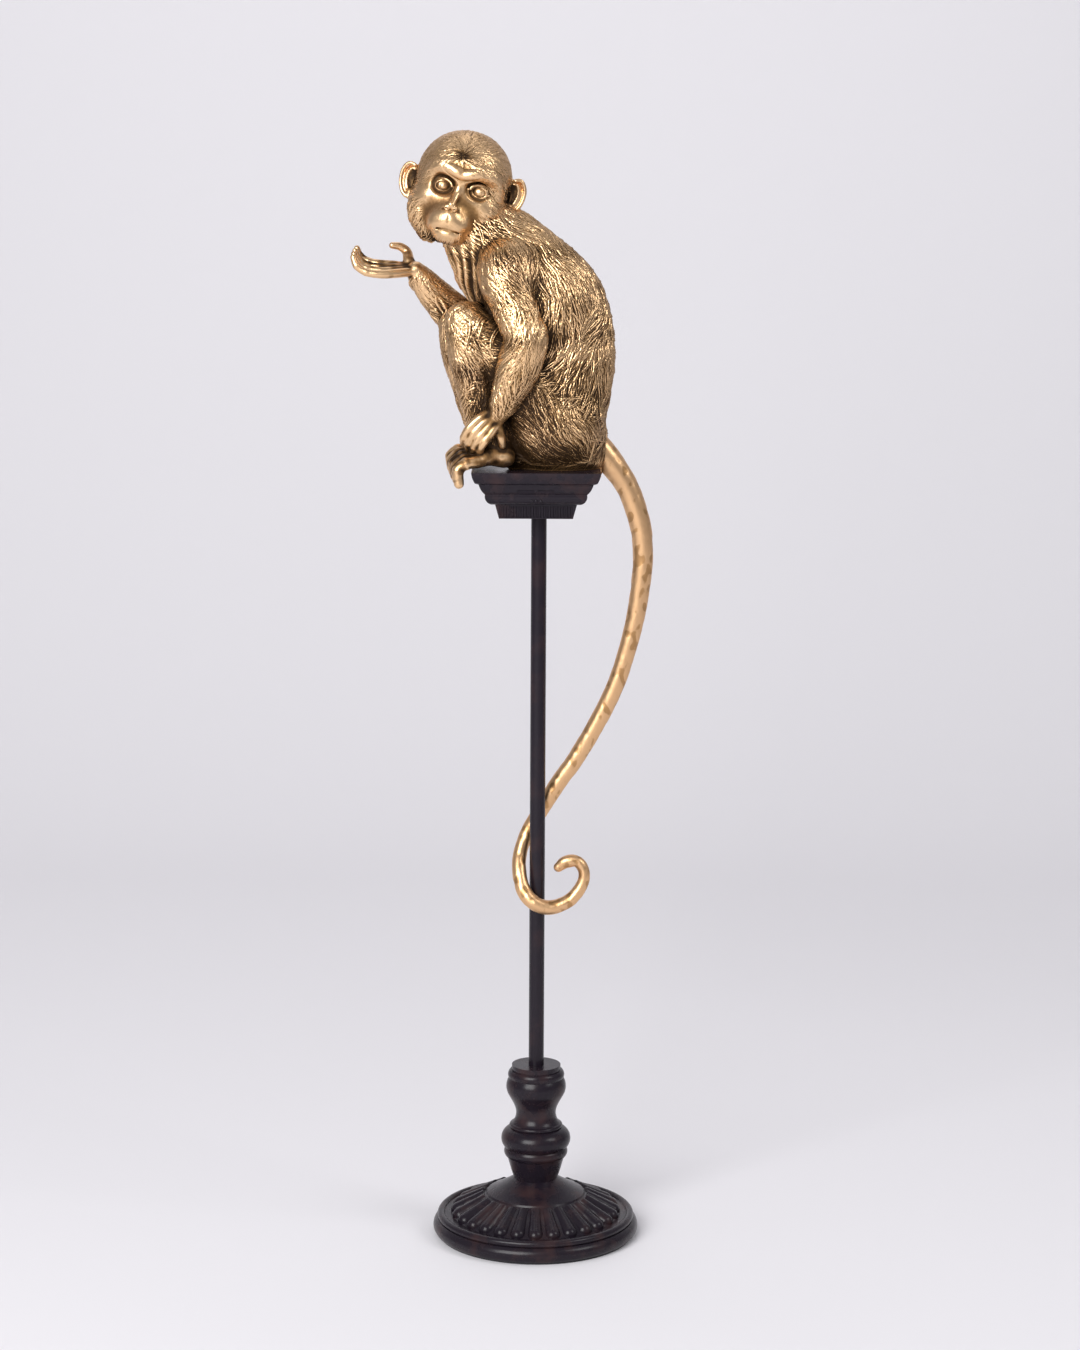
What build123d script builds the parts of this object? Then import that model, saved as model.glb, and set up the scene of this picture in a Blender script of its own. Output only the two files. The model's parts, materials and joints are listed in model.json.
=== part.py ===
from build123d import *
import math
import os

# A gilded monkey sits on a square capital, on a tall pole, on a turned foot with a gadrooned round base.
# Lengths are millimetres, +Z is up, and the origin lies on the pole's axis where the felt meets the floor.
# The animal faces -X and turns its head towards -Y; its left side is the -Y side.

# Driving dimensions of the stand
base_diameter = 163.0
felt_thickness = 2.0
felt_margin = 4.0
dome_top_height = 45.5
dome_disc_radius = 39.2
gadroon_end_radius = 67.5
gadroon_count = 28
baluster_height = 93.0
baluster_diameter = 55.0
pole_diameter = 12.0
pole_wall = 1.0
pole_shown_length = 438.5
pole_foot_socket = 26.0
pole_head_socket = 12.0
capital_width = 98.0
capital_height = 37.0
capital_shift = -2.3
capital_face_count = 4

# Driving dimensions of the figure
figure_height = 255.0
tail_drop = 353.0
tail_root_radius = 10.5

# Hardware
rod_diameter = 6.0
rod_end_inset = 3.0
nut_across_flats = 10.0
nut_sides = 6
nut_thickness = 5.0
washer_diameter = 18.0
washer_thickness = 1.2
weight_diameter = 110.0
weight_thickness = 14.0
weight_gap_above_felt = 1.0
insert_diameter = 10.0
insert_length = 15.0
screw_diameter = 4.0
screw_length = 52.0
screw_head_diameter = 8.0
screw_head_height = 3.0
screw_washer_diameter = 10.0
screw_washer_thickness = 1.0
screw_pitch = 30.0
screw_offset = 9.0
dowel_diameter = 4.0

# Fits
bore_clearance = 0.5
socket_clearance = 0.15
dowel_clearance = 0.1
glue_gap = 0.25
tail_clearance = 0.4
overrun = 20.0
edge_break = 0.8
quarter_turn = 90.0

# Places worked out from the sizes above
base_radius = base_diameter / 2
baluster_radius = baluster_diameter / 2
pole_radius = pole_diameter / 2
baluster_top = dome_top_height + baluster_height
capital_underside = baluster_top + pole_shown_length
seat_height = capital_underside + capital_height
half_capital = capital_width / 2
weight_floor = felt_thickness + weight_gap_above_felt
weight_top = weight_floor + weight_thickness
nut_pocket_depth = weight_thickness / 2
pole_foot = baluster_top - pole_foot_socket
pole_head = capital_underside + pole_head_socket
rod_top = pole_head + insert_length - rod_end_inset

os.makedirs("parts", exist_ok=True)


def save(part, name):
    """Label a finished piece and write it as its own file."""
    part.label = name
    export_step(part, f"parts/{name}.step")


# Felt pad under the base
with BuildPart() as felt_pad:
    with BuildSketch():
        Circle(base_radius - felt_margin)
    extrude(amount=felt_thickness)
save(felt_pad.part, "felt_pad")

# Base: a domed disc with a torus rim, a ridge ring and a ring of rounded gadroons
rim_height = 13.0
ridge_inset = 4.5
ridge_rise = 6.0
ring_floor_drop = 2.5
ridge_radius = base_radius - ridge_inset
ridge_top = rim_height + ridge_rise
ring_floor_height = ridge_top - ring_floor_drop
disc_edge_height = 32.5
disc_step = 1.4
gadroon_end_round = 6.3
gadroon_start_round = 4.1
gadroon_sink = 2.4
foot_radius = 17.2

with BuildPart() as base_casting:
    with BuildSketch(Plane.XZ):
        with BuildLine():
            rim_bottom = (base_radius - felt_margin / 2, felt_thickness)
            rim_widest = (base_radius, rim_height / 2)
            rim_end = (ridge_radius + edge_break, rim_height)
            ThreePointArc(rim_bottom, rim_widest, rim_end)
            Line(rim_end, (ridge_radius, rim_height))
            ridge_crest = (ridge_radius - edge_break, ridge_top - edge_break)
            ridge_inside = (ridge_radius - 2 * gadroon_sink, ring_floor_height)
            ThreePointArc((ridge_radius, rim_height), ridge_crest, ridge_inside)
            ring_floor_start = (gadroon_end_radius - edge_break, ring_floor_height)
            Line(ridge_inside, ring_floor_start)
            disc_edge = (dome_disc_radius, disc_edge_height)
            RadiusArc(ring_floor_start, disc_edge, -2 * base_radius)
            disc_lip = (dome_disc_radius - edge_break, disc_edge_height + disc_step)
            Line(disc_edge, disc_lip)
            RadiusArc(disc_lip, (foot_radius, dome_top_height), 2 * base_radius)
            Line((foot_radius, dome_top_height), (0, dome_top_height))
            Line((0, dome_top_height), (0, felt_thickness))
            Line((0, felt_thickness), rim_bottom)
        make_face()
    revolve(axis=Axis.Z)
    gadroon_start = Vector(dome_disc_radius + edge_break, 0, disc_edge_height - gadroon_sink)
    gadroon_end = Vector(gadroon_end_radius - gadroon_end_round, 0, ring_floor_height + edge_break)
    gadroon_axis = gadroon_end - gadroon_start
    gadroon_ball = Solid.make_sphere(gadroon_end_round, angle1=-quarter_turn, angle2=quarter_turn)
    gadroon_ball = gadroon_ball.moved(Location(gadroon_end))
    gadroon_body = Solid.make_cone(
        gadroon_start_round, gadroon_end_round, gadroon_axis.length, Plane(gadroon_start, z_dir=gadroon_axis)
    )
    with PolarLocations(0, gadroon_count):
        add(gadroon_ball)
        add(gadroon_body)
    with BuildSketch(Plane.XY.offset(felt_thickness)):
        Circle(weight_diameter / 2 + socket_clearance)
    extrude(amount=weight_top - felt_thickness, mode=Mode.SUBTRACT)
    with BuildSketch(Plane.XY.offset(weight_top)):
        Circle((rod_diameter + bore_clearance) / 2)
    extrude(amount=dome_top_height, mode=Mode.SUBTRACT)
save(base_casting.part, "base_casting")

# Cast-iron disc in the base, with a pocket beneath it for the washer and the nut
with BuildPart() as base_weight:
    with BuildSketch(Plane.XY.offset(weight_floor)):
        Circle(weight_diameter / 2)
    extrude(amount=weight_thickness)
    with BuildSketch(Plane.XY.offset(weight_floor)):
        Circle(washer_diameter / 2 + bore_clearance)
    extrude(amount=nut_pocket_depth, mode=Mode.SUBTRACT)
    Hole((rod_diameter + bore_clearance) / 2)
save(base_weight.part, "base_weight")

# Washer, nut and the threaded rod that clamps base, baluster, pole and capital together
washer_floor = weight_floor + nut_pocket_depth - washer_thickness
with BuildPart() as base_washer:
    with BuildSketch(Plane.XY.offset(washer_floor)):
        Circle(washer_diameter / 2)
        Circle((rod_diameter + bore_clearance) / 2, mode=Mode.SUBTRACT)
    extrude(amount=washer_thickness)
save(base_washer.part, "base_washer")

with BuildPart() as base_nut:
    with BuildSketch(Plane.XY.offset(washer_floor)):
        RegularPolygon(nut_across_flats / 2, nut_sides, major_radius=False)
        Circle(rod_diameter / 2 + dowel_clearance, mode=Mode.SUBTRACT)
    extrude(amount=-nut_thickness)
save(base_nut.part, "base_nut")

with BuildPart() as tie_rod:
    with BuildSketch(Plane.XY.offset(weight_floor)):
        Circle(rod_diameter / 2)
    extrude(amount=rod_top - weight_floor)
save(tie_rod.part, "tie_rod")

# Turned baluster, as radius shares of its own radius at height shares of its own height
cup_shares = [(0.625, 0.0), (0.70, 0.06), (0.82, 0.185)]
lower_bead_shares = [(0.82, 0.185), (0.915, 0.243), (0.875, 0.27)]
torus_shares = [(0.875, 0.27), (1.0, 0.355), (0.735, 0.448)]
upper_bead_shares = [(0.735, 0.448), (0.765, 0.465), (0.70, 0.485)]
waist_shares = [(0.70, 0.485), (0.60, 0.53), (0.575, 0.585), (0.66, 0.665), (0.80, 0.74)]
bulge_shares = [(0.80, 0.74), (0.86, 0.81), (0.785, 0.885)]
collar_shares = [(0.785, 0.885), (0.81, 0.92), (0.74, 0.955)]
top_disc_shares = [(0.70, 0.955), (0.70, 1.0)]


def baluster_points(shares):
    """Turn radius and height shares into points of the turned outline."""
    return [(r * baluster_radius, dome_top_height + h * baluster_height) for r, h in shares]


with BuildPart() as baluster:
    with BuildSketch(Plane.XZ):
        with BuildLine():
            Line((0, dome_top_height), baluster_points(cup_shares)[0])
            Polyline(*baluster_points(cup_shares))
            for ring_shares in (lower_bead_shares, torus_shares, upper_bead_shares):
                ThreePointArc(*baluster_points(ring_shares))
            Spline(*baluster_points(waist_shares))
            for ring_shares in (bulge_shares, collar_shares):
                ThreePointArc(*baluster_points(ring_shares))
            Line(baluster_points(collar_shares)[-1], baluster_points(top_disc_shares)[0])
            Line(*baluster_points(top_disc_shares))
            Line(baluster_points(top_disc_shares)[-1], (0, baluster_top))
            Line((0, baluster_top), (0, dome_top_height))
        make_face()
    revolve(axis=Axis.Z)
    with BuildSketch(Plane.XY.offset(pole_foot)):
        Circle(pole_radius + socket_clearance)
    extrude(amount=pole_foot_socket, mode=Mode.SUBTRACT)
    with BuildSketch(Plane.XY.offset(dome_top_height)):
        Circle((rod_diameter + bore_clearance) / 2)
    extrude(amount=pole_foot - dome_top_height, mode=Mode.SUBTRACT)
save(baluster.part, "baluster")

# Steel tube, seated in the baluster below and in the capital above
with BuildPart() as pole:
    with BuildSketch(Plane.XY.offset(pole_foot)):
        Circle(pole_radius)
        Circle(pole_radius - pole_wall, mode=Mode.SUBTRACT)
    extrude(amount=pole_head - pole_foot)
save(pole.part, "pole")

# Capital: a square block with a slab, a cove, a rounded band and a tapered fluted neck
# Its outline is half widths, as shares of the half capital, at depth shares below the seat
slab_shares = [(1.0, 0.0), (0.985, 0.10), (0.945, 0.22)]
cove_shares = [(0.885, 0.255), (0.855, 0.36), (0.79, 0.47)]
band_shares = [(0.79, 0.47), (0.775, 0.60), (0.69, 0.69)]
neck_shares = [(0.635, 0.70), (0.575, 1.0)]
flute_count = 22
flute_radius = 0.9
recess_length = 13.0
recess_height = 3.6
recess_depth = 1.5
recess_spacing = 15.0
recess_drop_share = 0.40
scroll_radius = 2.6
scroll_round = 0.8
leaf_drop_share = 0.60
leaf_length = 3.4
leaf_width = 1.3


def capital_points(shares, side):
    """Half widths and depths of the capital's outline, on one side of its middle."""
    return [(side * x * half_capital, seat_height - z * capital_height) for x, z in shares]


def capital_profile(plane):
    """The capital's moulded outline, pushed both ways through the block."""
    with BuildPart() as run:
        with BuildSketch(plane):
            with BuildLine():
                ends = []
                for side in (1, -1):
                    slab = capital_points(slab_shares, side)
                    cove = capital_points(cove_shares, side)
                    band = capital_points(band_shares, side)
                    neck = capital_points(neck_shares, side)
                    ThreePointArc(*slab)
                    Line(slab[-1], cove[0])
                    ThreePointArc(*cove)
                    ThreePointArc(*band)
                    Line(band[-1], neck[0])
                    Line(*neck)
                    ends.append((slab[0], neck[-1]))
                Line(ends[0][0], ends[1][0])
                Line(ends[0][1], ends[1][1])
            make_face()
        extrude(amount=half_capital + overrun, both=True)
    return run.part


capital_long_run = capital_profile(Plane.XZ)
capital_cross_run = capital_profile(Plane.YZ)
neck_top, neck_foot = capital_points(neck_shares, 1)
neck_tilt = math.degrees(math.atan2(neck_top[0] - neck_foot[0], neck_top[1] - neck_foot[1]))
recess_face = capital_points(cove_shares, 1)[1][0]
leaf_face = capital_points(band_shares, 1)[1][0]

capital_faces = []
for turn in range(capital_face_count):
    outward = Vector(0, -1, 0).rotate(Axis.Z, quarter_turn * turn)
    along = Vector(1, 0, 0).rotate(Axis.Z, quarter_turn * turn)
    capital_faces.append(Plane((0, 0, neck_foot[1]), x_dir=along, z_dir=outward))

flute_pitch = 2 * neck_foot[0] / flute_count
flute_length = neck_top[1] - neck_foot[1] - 2 * edge_break
recess_rise = (1 - recess_drop_share) * capital_height
leaf_rise = (1 - leaf_drop_share) * capital_height


def on_faces(rise, sideways, outward, turned=(0, 0, 0)):
    """The same place on each of the capital's four faces."""
    places = []
    for face in capital_faces:
        for step in sideways:
            places.append(face.location * Location((step, rise, outward), turned))
    return places


flute_steps = [(step - (flute_count - 1) / 2) * flute_pitch for step in range(flute_count)]
flute_rise = (neck_top[1] - neck_foot[1]) / 2
flute_face = (neck_top[0] + neck_foot[0]) / 2

with BuildPart() as capital_square:
    add(capital_long_run)
    add(capital_cross_run, mode=Mode.INTERSECT)
    with Locations(*on_faces(flute_rise, flute_steps, flute_face, (90 + neck_tilt, 0, 0))):
        Cylinder(flute_radius, flute_length, mode=Mode.SUBTRACT)
    with BuildSketch(*[face.offset(recess_face) for face in capital_faces]):
        with Locations((-recess_spacing / 2, recess_rise), (recess_spacing / 2, recess_rise)):
            SlotOverall(recess_length, recess_height)
    extrude(amount=-recess_depth, mode=Mode.SUBTRACT)
    scroll_steps = (-recess_spacing, recess_spacing)
    with Locations(*on_faces(recess_rise - scroll_radius, scroll_steps, leaf_face)):
        Torus(scroll_radius, scroll_round)
    with Locations(*on_faces(leaf_rise, (-leaf_length, 0, leaf_length), leaf_face)):
        Sphere(leaf_width)

# The block sits off the pole's axis, and takes the pole, the brass insert and two screws from below
screw_places = [(screw_offset, -screw_pitch / 2), (screw_offset, screw_pitch / 2)]
screw_seat = capital_underside + screw_head_height + screw_washer_thickness

with BuildPart() as capital_block:
    with Locations((capital_shift, 0, 0)):
        add(capital_square.part)
    with BuildSketch(Plane.XY.offset(capital_underside)):
        Circle(pole_radius + socket_clearance)
    extrude(amount=pole_head_socket, mode=Mode.SUBTRACT)
    with BuildSketch(Plane.XY.offset(pole_head)):
        Circle(insert_diameter / 2 + dowel_clearance)
    extrude(amount=insert_length, mode=Mode.SUBTRACT)
    with BuildSketch(Plane.XY.offset(capital_underside)):
        with Locations(*screw_places):
            Circle(screw_washer_diameter / 2 + bore_clearance)
    extrude(amount=screw_seat - capital_underside, mode=Mode.SUBTRACT)
    with BuildSketch(Plane.XY.offset(screw_seat)):
        with Locations(*screw_places):
            Circle((screw_diameter + bore_clearance) / 2)
    extrude(amount=capital_height, mode=Mode.SUBTRACT)
save(capital_block.part, "capital_block")

with BuildPart() as capital_insert:
    with BuildSketch(Plane.XY.offset(pole_head)):
        Circle(insert_diameter / 2)
        Circle(rod_diameter / 2 + dowel_clearance, mode=Mode.SUBTRACT)
    extrude(amount=insert_length)
save(capital_insert.part, "capital_insert")

# Two screws with washers, up through the capital into the seat of the figure
with BuildPart() as figure_screws:
    with BuildSketch(Plane.XY.offset(screw_seat)):
        with Locations(*screw_places):
            Circle(screw_diameter / 2)
    extrude(amount=screw_length)
    with BuildSketch(Plane.XY.offset(screw_seat - screw_washer_thickness)):
        with Locations(*screw_places):
            Circle(screw_head_diameter / 2)
    extrude(amount=-screw_head_height)
    with BuildSketch(Plane.XY.offset(screw_seat)):
        with Locations(*screw_places):
            Circle(screw_diameter / 2)
    extrude(amount=-screw_washer_thickness - screw_head_height / 2)
save(figure_screws.part, "figure_screws")

with BuildPart() as screw_washers:
    with BuildSketch(Plane.XY.offset(screw_seat)):
        with Locations(*screw_places):
            Circle(screw_washer_diameter / 2)
            Circle(screw_diameter / 2 + dowel_clearance, mode=Mode.SUBTRACT)
    extrude(amount=-screw_washer_thickness)
save(screw_washers.part, "screw_washers")

# Figure: places are shares of its height, as left-right, near-far and up from the seat
# A limb's row is a place and two half sizes: in the animal's long plane, and across it
torso_shares = [
    (0.072, 0, -0.030, 0.110, 0.110),
    (0.070, 0, 0.010, 0.128, 0.125),
    (0.068, 0, 0.060, 0.140, 0.140),
    (0.065, 0, 0.150, 0.140, 0.145),
    (0.062, 0, 0.260, 0.163, 0.145),
    (0.048, 0, 0.360, 0.183, 0.150),
    (0.010, 0, 0.470, 0.193, 0.155),
    (-0.050, 0, 0.560, 0.166, 0.145),
    (-0.115, 0, 0.640, 0.140, 0.120),
    (-0.170, 0, 0.690, 0.112, 0.100),
    (-0.205, -0.005, 0.740, 0.085, 0.085),
]
left_upper_arm_shares = [
    (-0.085, -0.105, 0.620, 0.078, 0.058),
    (-0.080, -0.150, 0.530, 0.069, 0.055),
    (-0.052, -0.176, 0.450, 0.060, 0.052),
    (-0.036, -0.184, 0.390, 0.058, 0.050),
]
left_forearm_shares = [
    (-0.040, -0.184, 0.375, 0.058, 0.049),
    (-0.050, -0.180, 0.335, 0.063, 0.050),
    (-0.068, -0.176, 0.270, 0.057, 0.047),
    (-0.094, -0.170, 0.210, 0.043, 0.037),
    (-0.120, -0.168, 0.165, 0.031, 0.026),
]
left_palm_shares = [
    (-0.118, -0.168, 0.168, 0.029, 0.024),
    (-0.142, -0.169, 0.140, 0.035, 0.019),
    (-0.166, -0.165, 0.118, 0.044, 0.018),
]
right_upper_arm_shares = [
    (-0.100, 0.110, 0.600, 0.070, 0.060),
    (-0.145, 0.135, 0.500, 0.060, 0.055),
    (-0.190, 0.125, 0.400, 0.050, 0.048),
]
right_forearm_shares = [
    (-0.185, 0.125, 0.385, 0.048, 0.046),
    (-0.250, 0.100, 0.452, 0.056, 0.050),
    (-0.290, 0.088, 0.490, 0.053, 0.045),
    (-0.331, 0.075, 0.536, 0.044, 0.038),
    (-0.365, 0.064, 0.580, 0.030, 0.030),
]
right_palm_shares = [
    (-0.362, 0.062, 0.586, 0.028, 0.030),
    (-0.405, 0.060, 0.590, 0.025, 0.040),
    (-0.450, 0.058, 0.588, 0.018, 0.048),
    (-0.480, 0.058, 0.588, 0.014, 0.046),
]
left_thigh_shares = [
    (0.060, -0.095, 0.100, 0.105, 0.072),
    (-0.020, -0.105, 0.220, 0.088, 0.070),
    (-0.120, -0.108, 0.350, 0.075, 0.062),
    (-0.200, -0.105, 0.435, 0.062, 0.055),
]
left_shin_shares = [
    (-0.212, -0.105, 0.445, 0.058, 0.054),
    (-0.187, -0.105, 0.350, 0.076, 0.060),
    (-0.184, -0.105, 0.265, 0.058, 0.050),
    (-0.172, -0.108, 0.176, 0.042, 0.038),
    (-0.148, -0.110, 0.110, 0.036, 0.034),
    (-0.118, -0.112, 0.062, 0.040, 0.036),
]
left_foot_shares = [
    (-0.085, -0.112, 0.034, 0.030, 0.034),
    (-0.130, -0.116, 0.044, 0.040, 0.042),
    (-0.175, -0.122, 0.036, 0.032, 0.048),
    (-0.212, -0.126, 0.026, 0.020, 0.050),
]
right_thigh_shares = [
    (0.060, 0.095, 0.100, 0.105, 0.072),
    (-0.020, 0.095, 0.220, 0.088, 0.070),
    (-0.130, 0.078, 0.335, 0.070, 0.062),
    (-0.220, 0.060, 0.410, 0.060, 0.055),
]
right_shin_shares = [
    (-0.235, 0.055, 0.415, 0.058, 0.054),
    (-0.232, 0.052, 0.340, 0.057, 0.050),
    (-0.218, 0.050, 0.265, 0.048, 0.045),
    (-0.200, 0.052, 0.195, 0.042, 0.038),
    (-0.180, 0.055, 0.125, 0.036, 0.034),
    (-0.155, 0.058, 0.062, 0.038, 0.036),
]
right_foot_shares = [
    (-0.105, 0.058, 0.034, 0.030, 0.034),
    (-0.150, 0.056, 0.044, 0.038, 0.040),
    (-0.190, 0.052, 0.036, 0.028, 0.045),
]
# Head rows run from the nape to the lips: forward of the ears, above them, half width, half height
head_centre_shares = (-0.215, -0.020, 0.829)
head_yaw = 12.0
head_roll = 9.0
head_shares = [
    (-0.135, 0.020, 0.040, 0.045),
    (-0.120, 0.022, 0.088, 0.090),
    (-0.075, 0.026, 0.128, 0.130),
    (-0.020, 0.026, 0.140, 0.150),
    (0.030, 0.008, 0.142, 0.156),
    (0.070, -0.012, 0.120, 0.140),
    (0.098, -0.034, 0.090, 0.112),
    (0.122, -0.074, 0.066, 0.076),
    (0.148, -0.093, 0.056, 0.058),
    (0.172, -0.094, 0.040, 0.042),
]
half_brow_shares = [(-0.086, 0.028, 0.082), (-0.040, 0.052, 0.104), (0, 0.040, 0.112)]
brow_radius_share = 0.014
eye_shares = (0.054, 0.006, 0.086)
eye_radius_share = 0.020
ear_shares = (0.152, -0.008, -0.012)
ear_size_shares = (0.038, 0.058)
ear_thickness_share = 0.022
ear_rim_share = 0.010
# Digits: a row is a place and one radius, from the knuckle to the tip
finger_count = 4
left_finger_shares = [
    (-0.156, -0.166, 0.120, 0.0115),
    (-0.212, -0.142, 0.112, 0.0112),
    (-0.214, -0.108, 0.104, 0.0108),
    (-0.196, -0.082, 0.098, 0.0098),
]
left_finger_step_share = 0.0245
left_knuckle_line_shares = (-0.45, 0, 0.89)
left_thumb_shares = [
    (-0.135, -0.165, 0.130, 0.015),
    (-0.108, -0.168, 0.102, 0.014),
    (-0.100, -0.154, 0.078, 0.011),
]
right_finger_shares = [
    (-0.470, 0.058, 0.588, 0.0118),
    (-0.512, 0.058, 0.592, 0.0116),
    (-0.542, 0.058, 0.612, 0.0110),
    (-0.552, 0.058, 0.638, 0.0096),
]
right_finger_step_share = 0.0255
palm_tilt = 20.0
right_thumb_shares = [
    (-0.385, 0.085, 0.604, 0.017),
    (-0.392, 0.100, 0.636, 0.014),
    (-0.412, 0.098, 0.652, 0.012),
    (-0.436, 0.092, 0.655, 0.010),
]
toe_count = 5
left_toe_shares = [
    (-0.200, -0.124, 0.022, 0.0103),
    (-0.240, -0.126, 0.022, 0.0105),
    (-0.254, -0.127, -0.008, 0.0105),
    (-0.240, -0.128, -0.042, 0.0097),
]
right_toe_shares = [
    (-0.178, 0.052, 0.030, 0.0103),
    (-0.214, 0.050, 0.036, 0.0105),
    (-0.228, 0.048, 0.018, 0.0105),
    (-0.224, 0.047, -0.006, 0.0097),
]
toe_step_share = 0.0235
end_round_share = 0.96


def figure_point(sideways, away, up):
    """A place on the figure, from shares of its height."""
    return Vector(
        capital_shift + sideways * figure_height, away * figure_height, seat_height + up * figure_height
    )


def loft_rows(rows, grow=0, across=Vector(0, 1, 0), tilt=0):
    """Loft ellipses square to the path through the rows, and round both of its ends."""
    points = [figure_point(*row[:3]) for row in rows]
    with BuildPart() as shape:
        for index, row in enumerate(rows):
            direction = points[min(index + 1, len(rows) - 1)] - points[max(index - 1, 0)]
            half_sizes = [share * figure_height + grow for share in row[3:]]
            with BuildSketch(Plane(points[index], x_dir=across.cross(direction), z_dir=direction)):
                Ellipse(half_sizes[0], half_sizes[-1] + glue_gap / 2, rotation=tilt)
        loft()
        for point, row in ((points[0], rows[0]), (points[-1], rows[-1])):
            with Locations(point):
                Sphere(min(row[3:]) * figure_height * end_round_share + grow)
    return shape.part


def digits(rows, count, step, slope=0, along=Vector(0, 1, 0), across=Vector(0, 1, 0)):
    """A fan of equal digits, set a step apart about the middle one of the rows."""
    fan = []
    for index in range(count):
        offset = (index - (count - 1) / 2) * step
        shift = along * offset
        fan.append(
            loft_rows(
                [(x + shift.X, y + shift.Y, z + shift.Z + offset * slope, size) for x, y, z, size in rows],
                across=across,
            )
        )
    return fan


def carve(shapes, cutters):
    """Join the shapes of one casting and cut back what its neighbours fill."""
    with BuildPart() as casting:
        for shape in shapes:
            add(shape)
        for cutter in cutters:
            add(cutter, mode=Mode.SUBTRACT)
    return casting.part


# Dowels between the castings, from end to end in shares of the figure's height
head_dowel_shares = ((-0.190, -0.003, 0.760), (-0.225, -0.007, 0.900))
tail_dowel_shares = ((0.110, 0.002, 0.110), (0.200, 0.004, 0.008))
arm_dowel_shares = (
    ((-0.085, -0.070, 0.560), (-0.088, -0.185, 0.545)),
    ((-0.110, 0.070, 0.560), (-0.130, 0.160, 0.530)),
)
leg_dowel_shares = (
    ((-0.005, -0.060, 0.200), (-0.030, -0.155, 0.225)),
    ((-0.005, 0.060, 0.200), (-0.030, 0.145, 0.225)),
)


def dowels(rows, grow=0):
    """Round pins from end to end of each row."""
    with BuildPart() as pins:
        for start_shares, end_shares in rows:
            start = figure_point(*start_shares)
            end = figure_point(*end_shares)
            with BuildSketch(Plane(start, z_dir=end - start)):
                Circle(dowel_diameter / 2 + grow)
            extrude(amount=(end - start).length + grow)
    return pins.part


for name, rows in (
    ("head_dowel", (head_dowel_shares,)),
    ("tail_dowel", (tail_dowel_shares,)),
    ("arm_dowels", arm_dowel_shares),
    ("leg_dowels", leg_dowel_shares),
):
    save(dowels(rows), name)

dowel_holes = dowels(
    (head_dowel_shares, tail_dowel_shares, *arm_dowel_shares, *leg_dowel_shares), dowel_clearance
)

# Room that the capital and the screws take from the figure
with BuildPart() as seat_room:
    with BuildSketch(Plane.XY.offset(seat_height)):
        Rectangle(2 * figure_height, 2 * figure_height)
    extrude(amount=-figure_height)
with BuildPart() as slab_room:
    with BuildSketch(Plane.XY.offset(seat_height)):
        with Locations((capital_shift, 0)):
            Rectangle(capital_width + 2 * glue_gap, capital_width)
    extrude(amount=-capital_height)
with BuildPart() as screw_holes:
    with BuildSketch(Plane.XY.offset(seat_height - overrun)):
        with Locations(*screw_places):
            Circle(screw_diameter / 2 + dowel_clearance)
    extrude(amount=screw_seat + screw_length + dowel_clearance - seat_height + overrun)

# Torso with the rump, back, chest and neck
torso_casting = carve([loft_rows(torso_shares)], [seat_room.part, screw_holes.part, dowel_holes])
save(torso_casting, "torso")
torso_room = loft_rows(torso_shares, glue_gap)

# Legs, bent up in front of the body, each with its foot and toes
left_leg_rows = (left_thigh_shares, left_shin_shares, left_foot_shares)
left_toes = digits(left_toe_shares, toe_count, toe_step_share)
left_leg_casting = carve(
    [loft_rows(rows) for rows in left_leg_rows] + left_toes,
    [slab_room.part, torso_room, dowel_holes],
)
save(left_leg_casting, "left_leg")
left_leg_room = [loft_rows(rows, glue_gap) for rows in left_leg_rows]

right_leg_rows = (right_thigh_shares, right_shin_shares, right_foot_shares)
right_toes = digits(right_toe_shares, toe_count, toe_step_share)
right_leg_casting = carve(
    [loft_rows(rows) for rows in right_leg_rows] + right_toes,
    [slab_room.part, torso_room, *left_leg_room, dowel_holes],
)
save(right_leg_casting, "right_leg")
right_leg_room = [loft_rows(rows, glue_gap) for rows in right_leg_rows]

# Left arm, down to the hand that grips the near shin
left_fingers = digits(
    left_finger_shares,
    finger_count,
    left_finger_step_share,
    along=Vector(*left_knuckle_line_shares),
    across=Vector(0, 0, 1),
)
left_arm_casting = carve(
    [
        loft_rows(left_upper_arm_shares),
        loft_rows(left_forearm_shares),
        loft_rows(left_palm_shares),
        loft_rows(left_thumb_shares),
        *left_fingers,
    ],
    [torso_room, *left_leg_room, dowel_holes],
)
save(left_arm_casting, "left_arm")

# Right arm, bent up to the open hand
right_fingers = digits(
    right_finger_shares,
    finger_count,
    right_finger_step_share,
    slope=math.tan(math.radians(palm_tilt)),
)
right_arm_casting = carve(
    [
        loft_rows(right_upper_arm_shares),
        loft_rows(right_forearm_shares),
        loft_rows(right_palm_shares, tilt=-palm_tilt),
        loft_rows(right_thumb_shares),
        *right_fingers,
    ],
    [torso_room, *right_leg_room, *left_leg_room, dowel_holes],
)
save(right_arm_casting, "right_arm")

# Head: skull and muzzle in one loft, with brow, eyes and ears
head_right = Vector(1, 0, 0).rotate(Axis.Z, -head_yaw)
head_forward = Vector(0, -1, 0).rotate(Axis.Z, -head_yaw)
head_axis = Axis((0, 0, 0), head_forward)
head_plane = Plane(
    figure_point(*head_centre_shares), x_dir=head_right.rotate(head_axis, -head_roll), z_dir=head_forward
)


def head_point(sideways, above, forward):
    """A place on the head, from shares of the figure's height along the head's own axes."""
    return head_plane.from_local_coords(
        Vector(sideways * figure_height, above * figure_height, forward * figure_height)
    )


with BuildPart() as skull:
    for forward, above, half_width, half_height in head_shares:
        with BuildSketch(head_plane.offset(forward * figure_height)):
            with Locations((0, above * figure_height)):
                Ellipse(half_width * figure_height, half_height * figure_height)
    loft()

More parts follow.
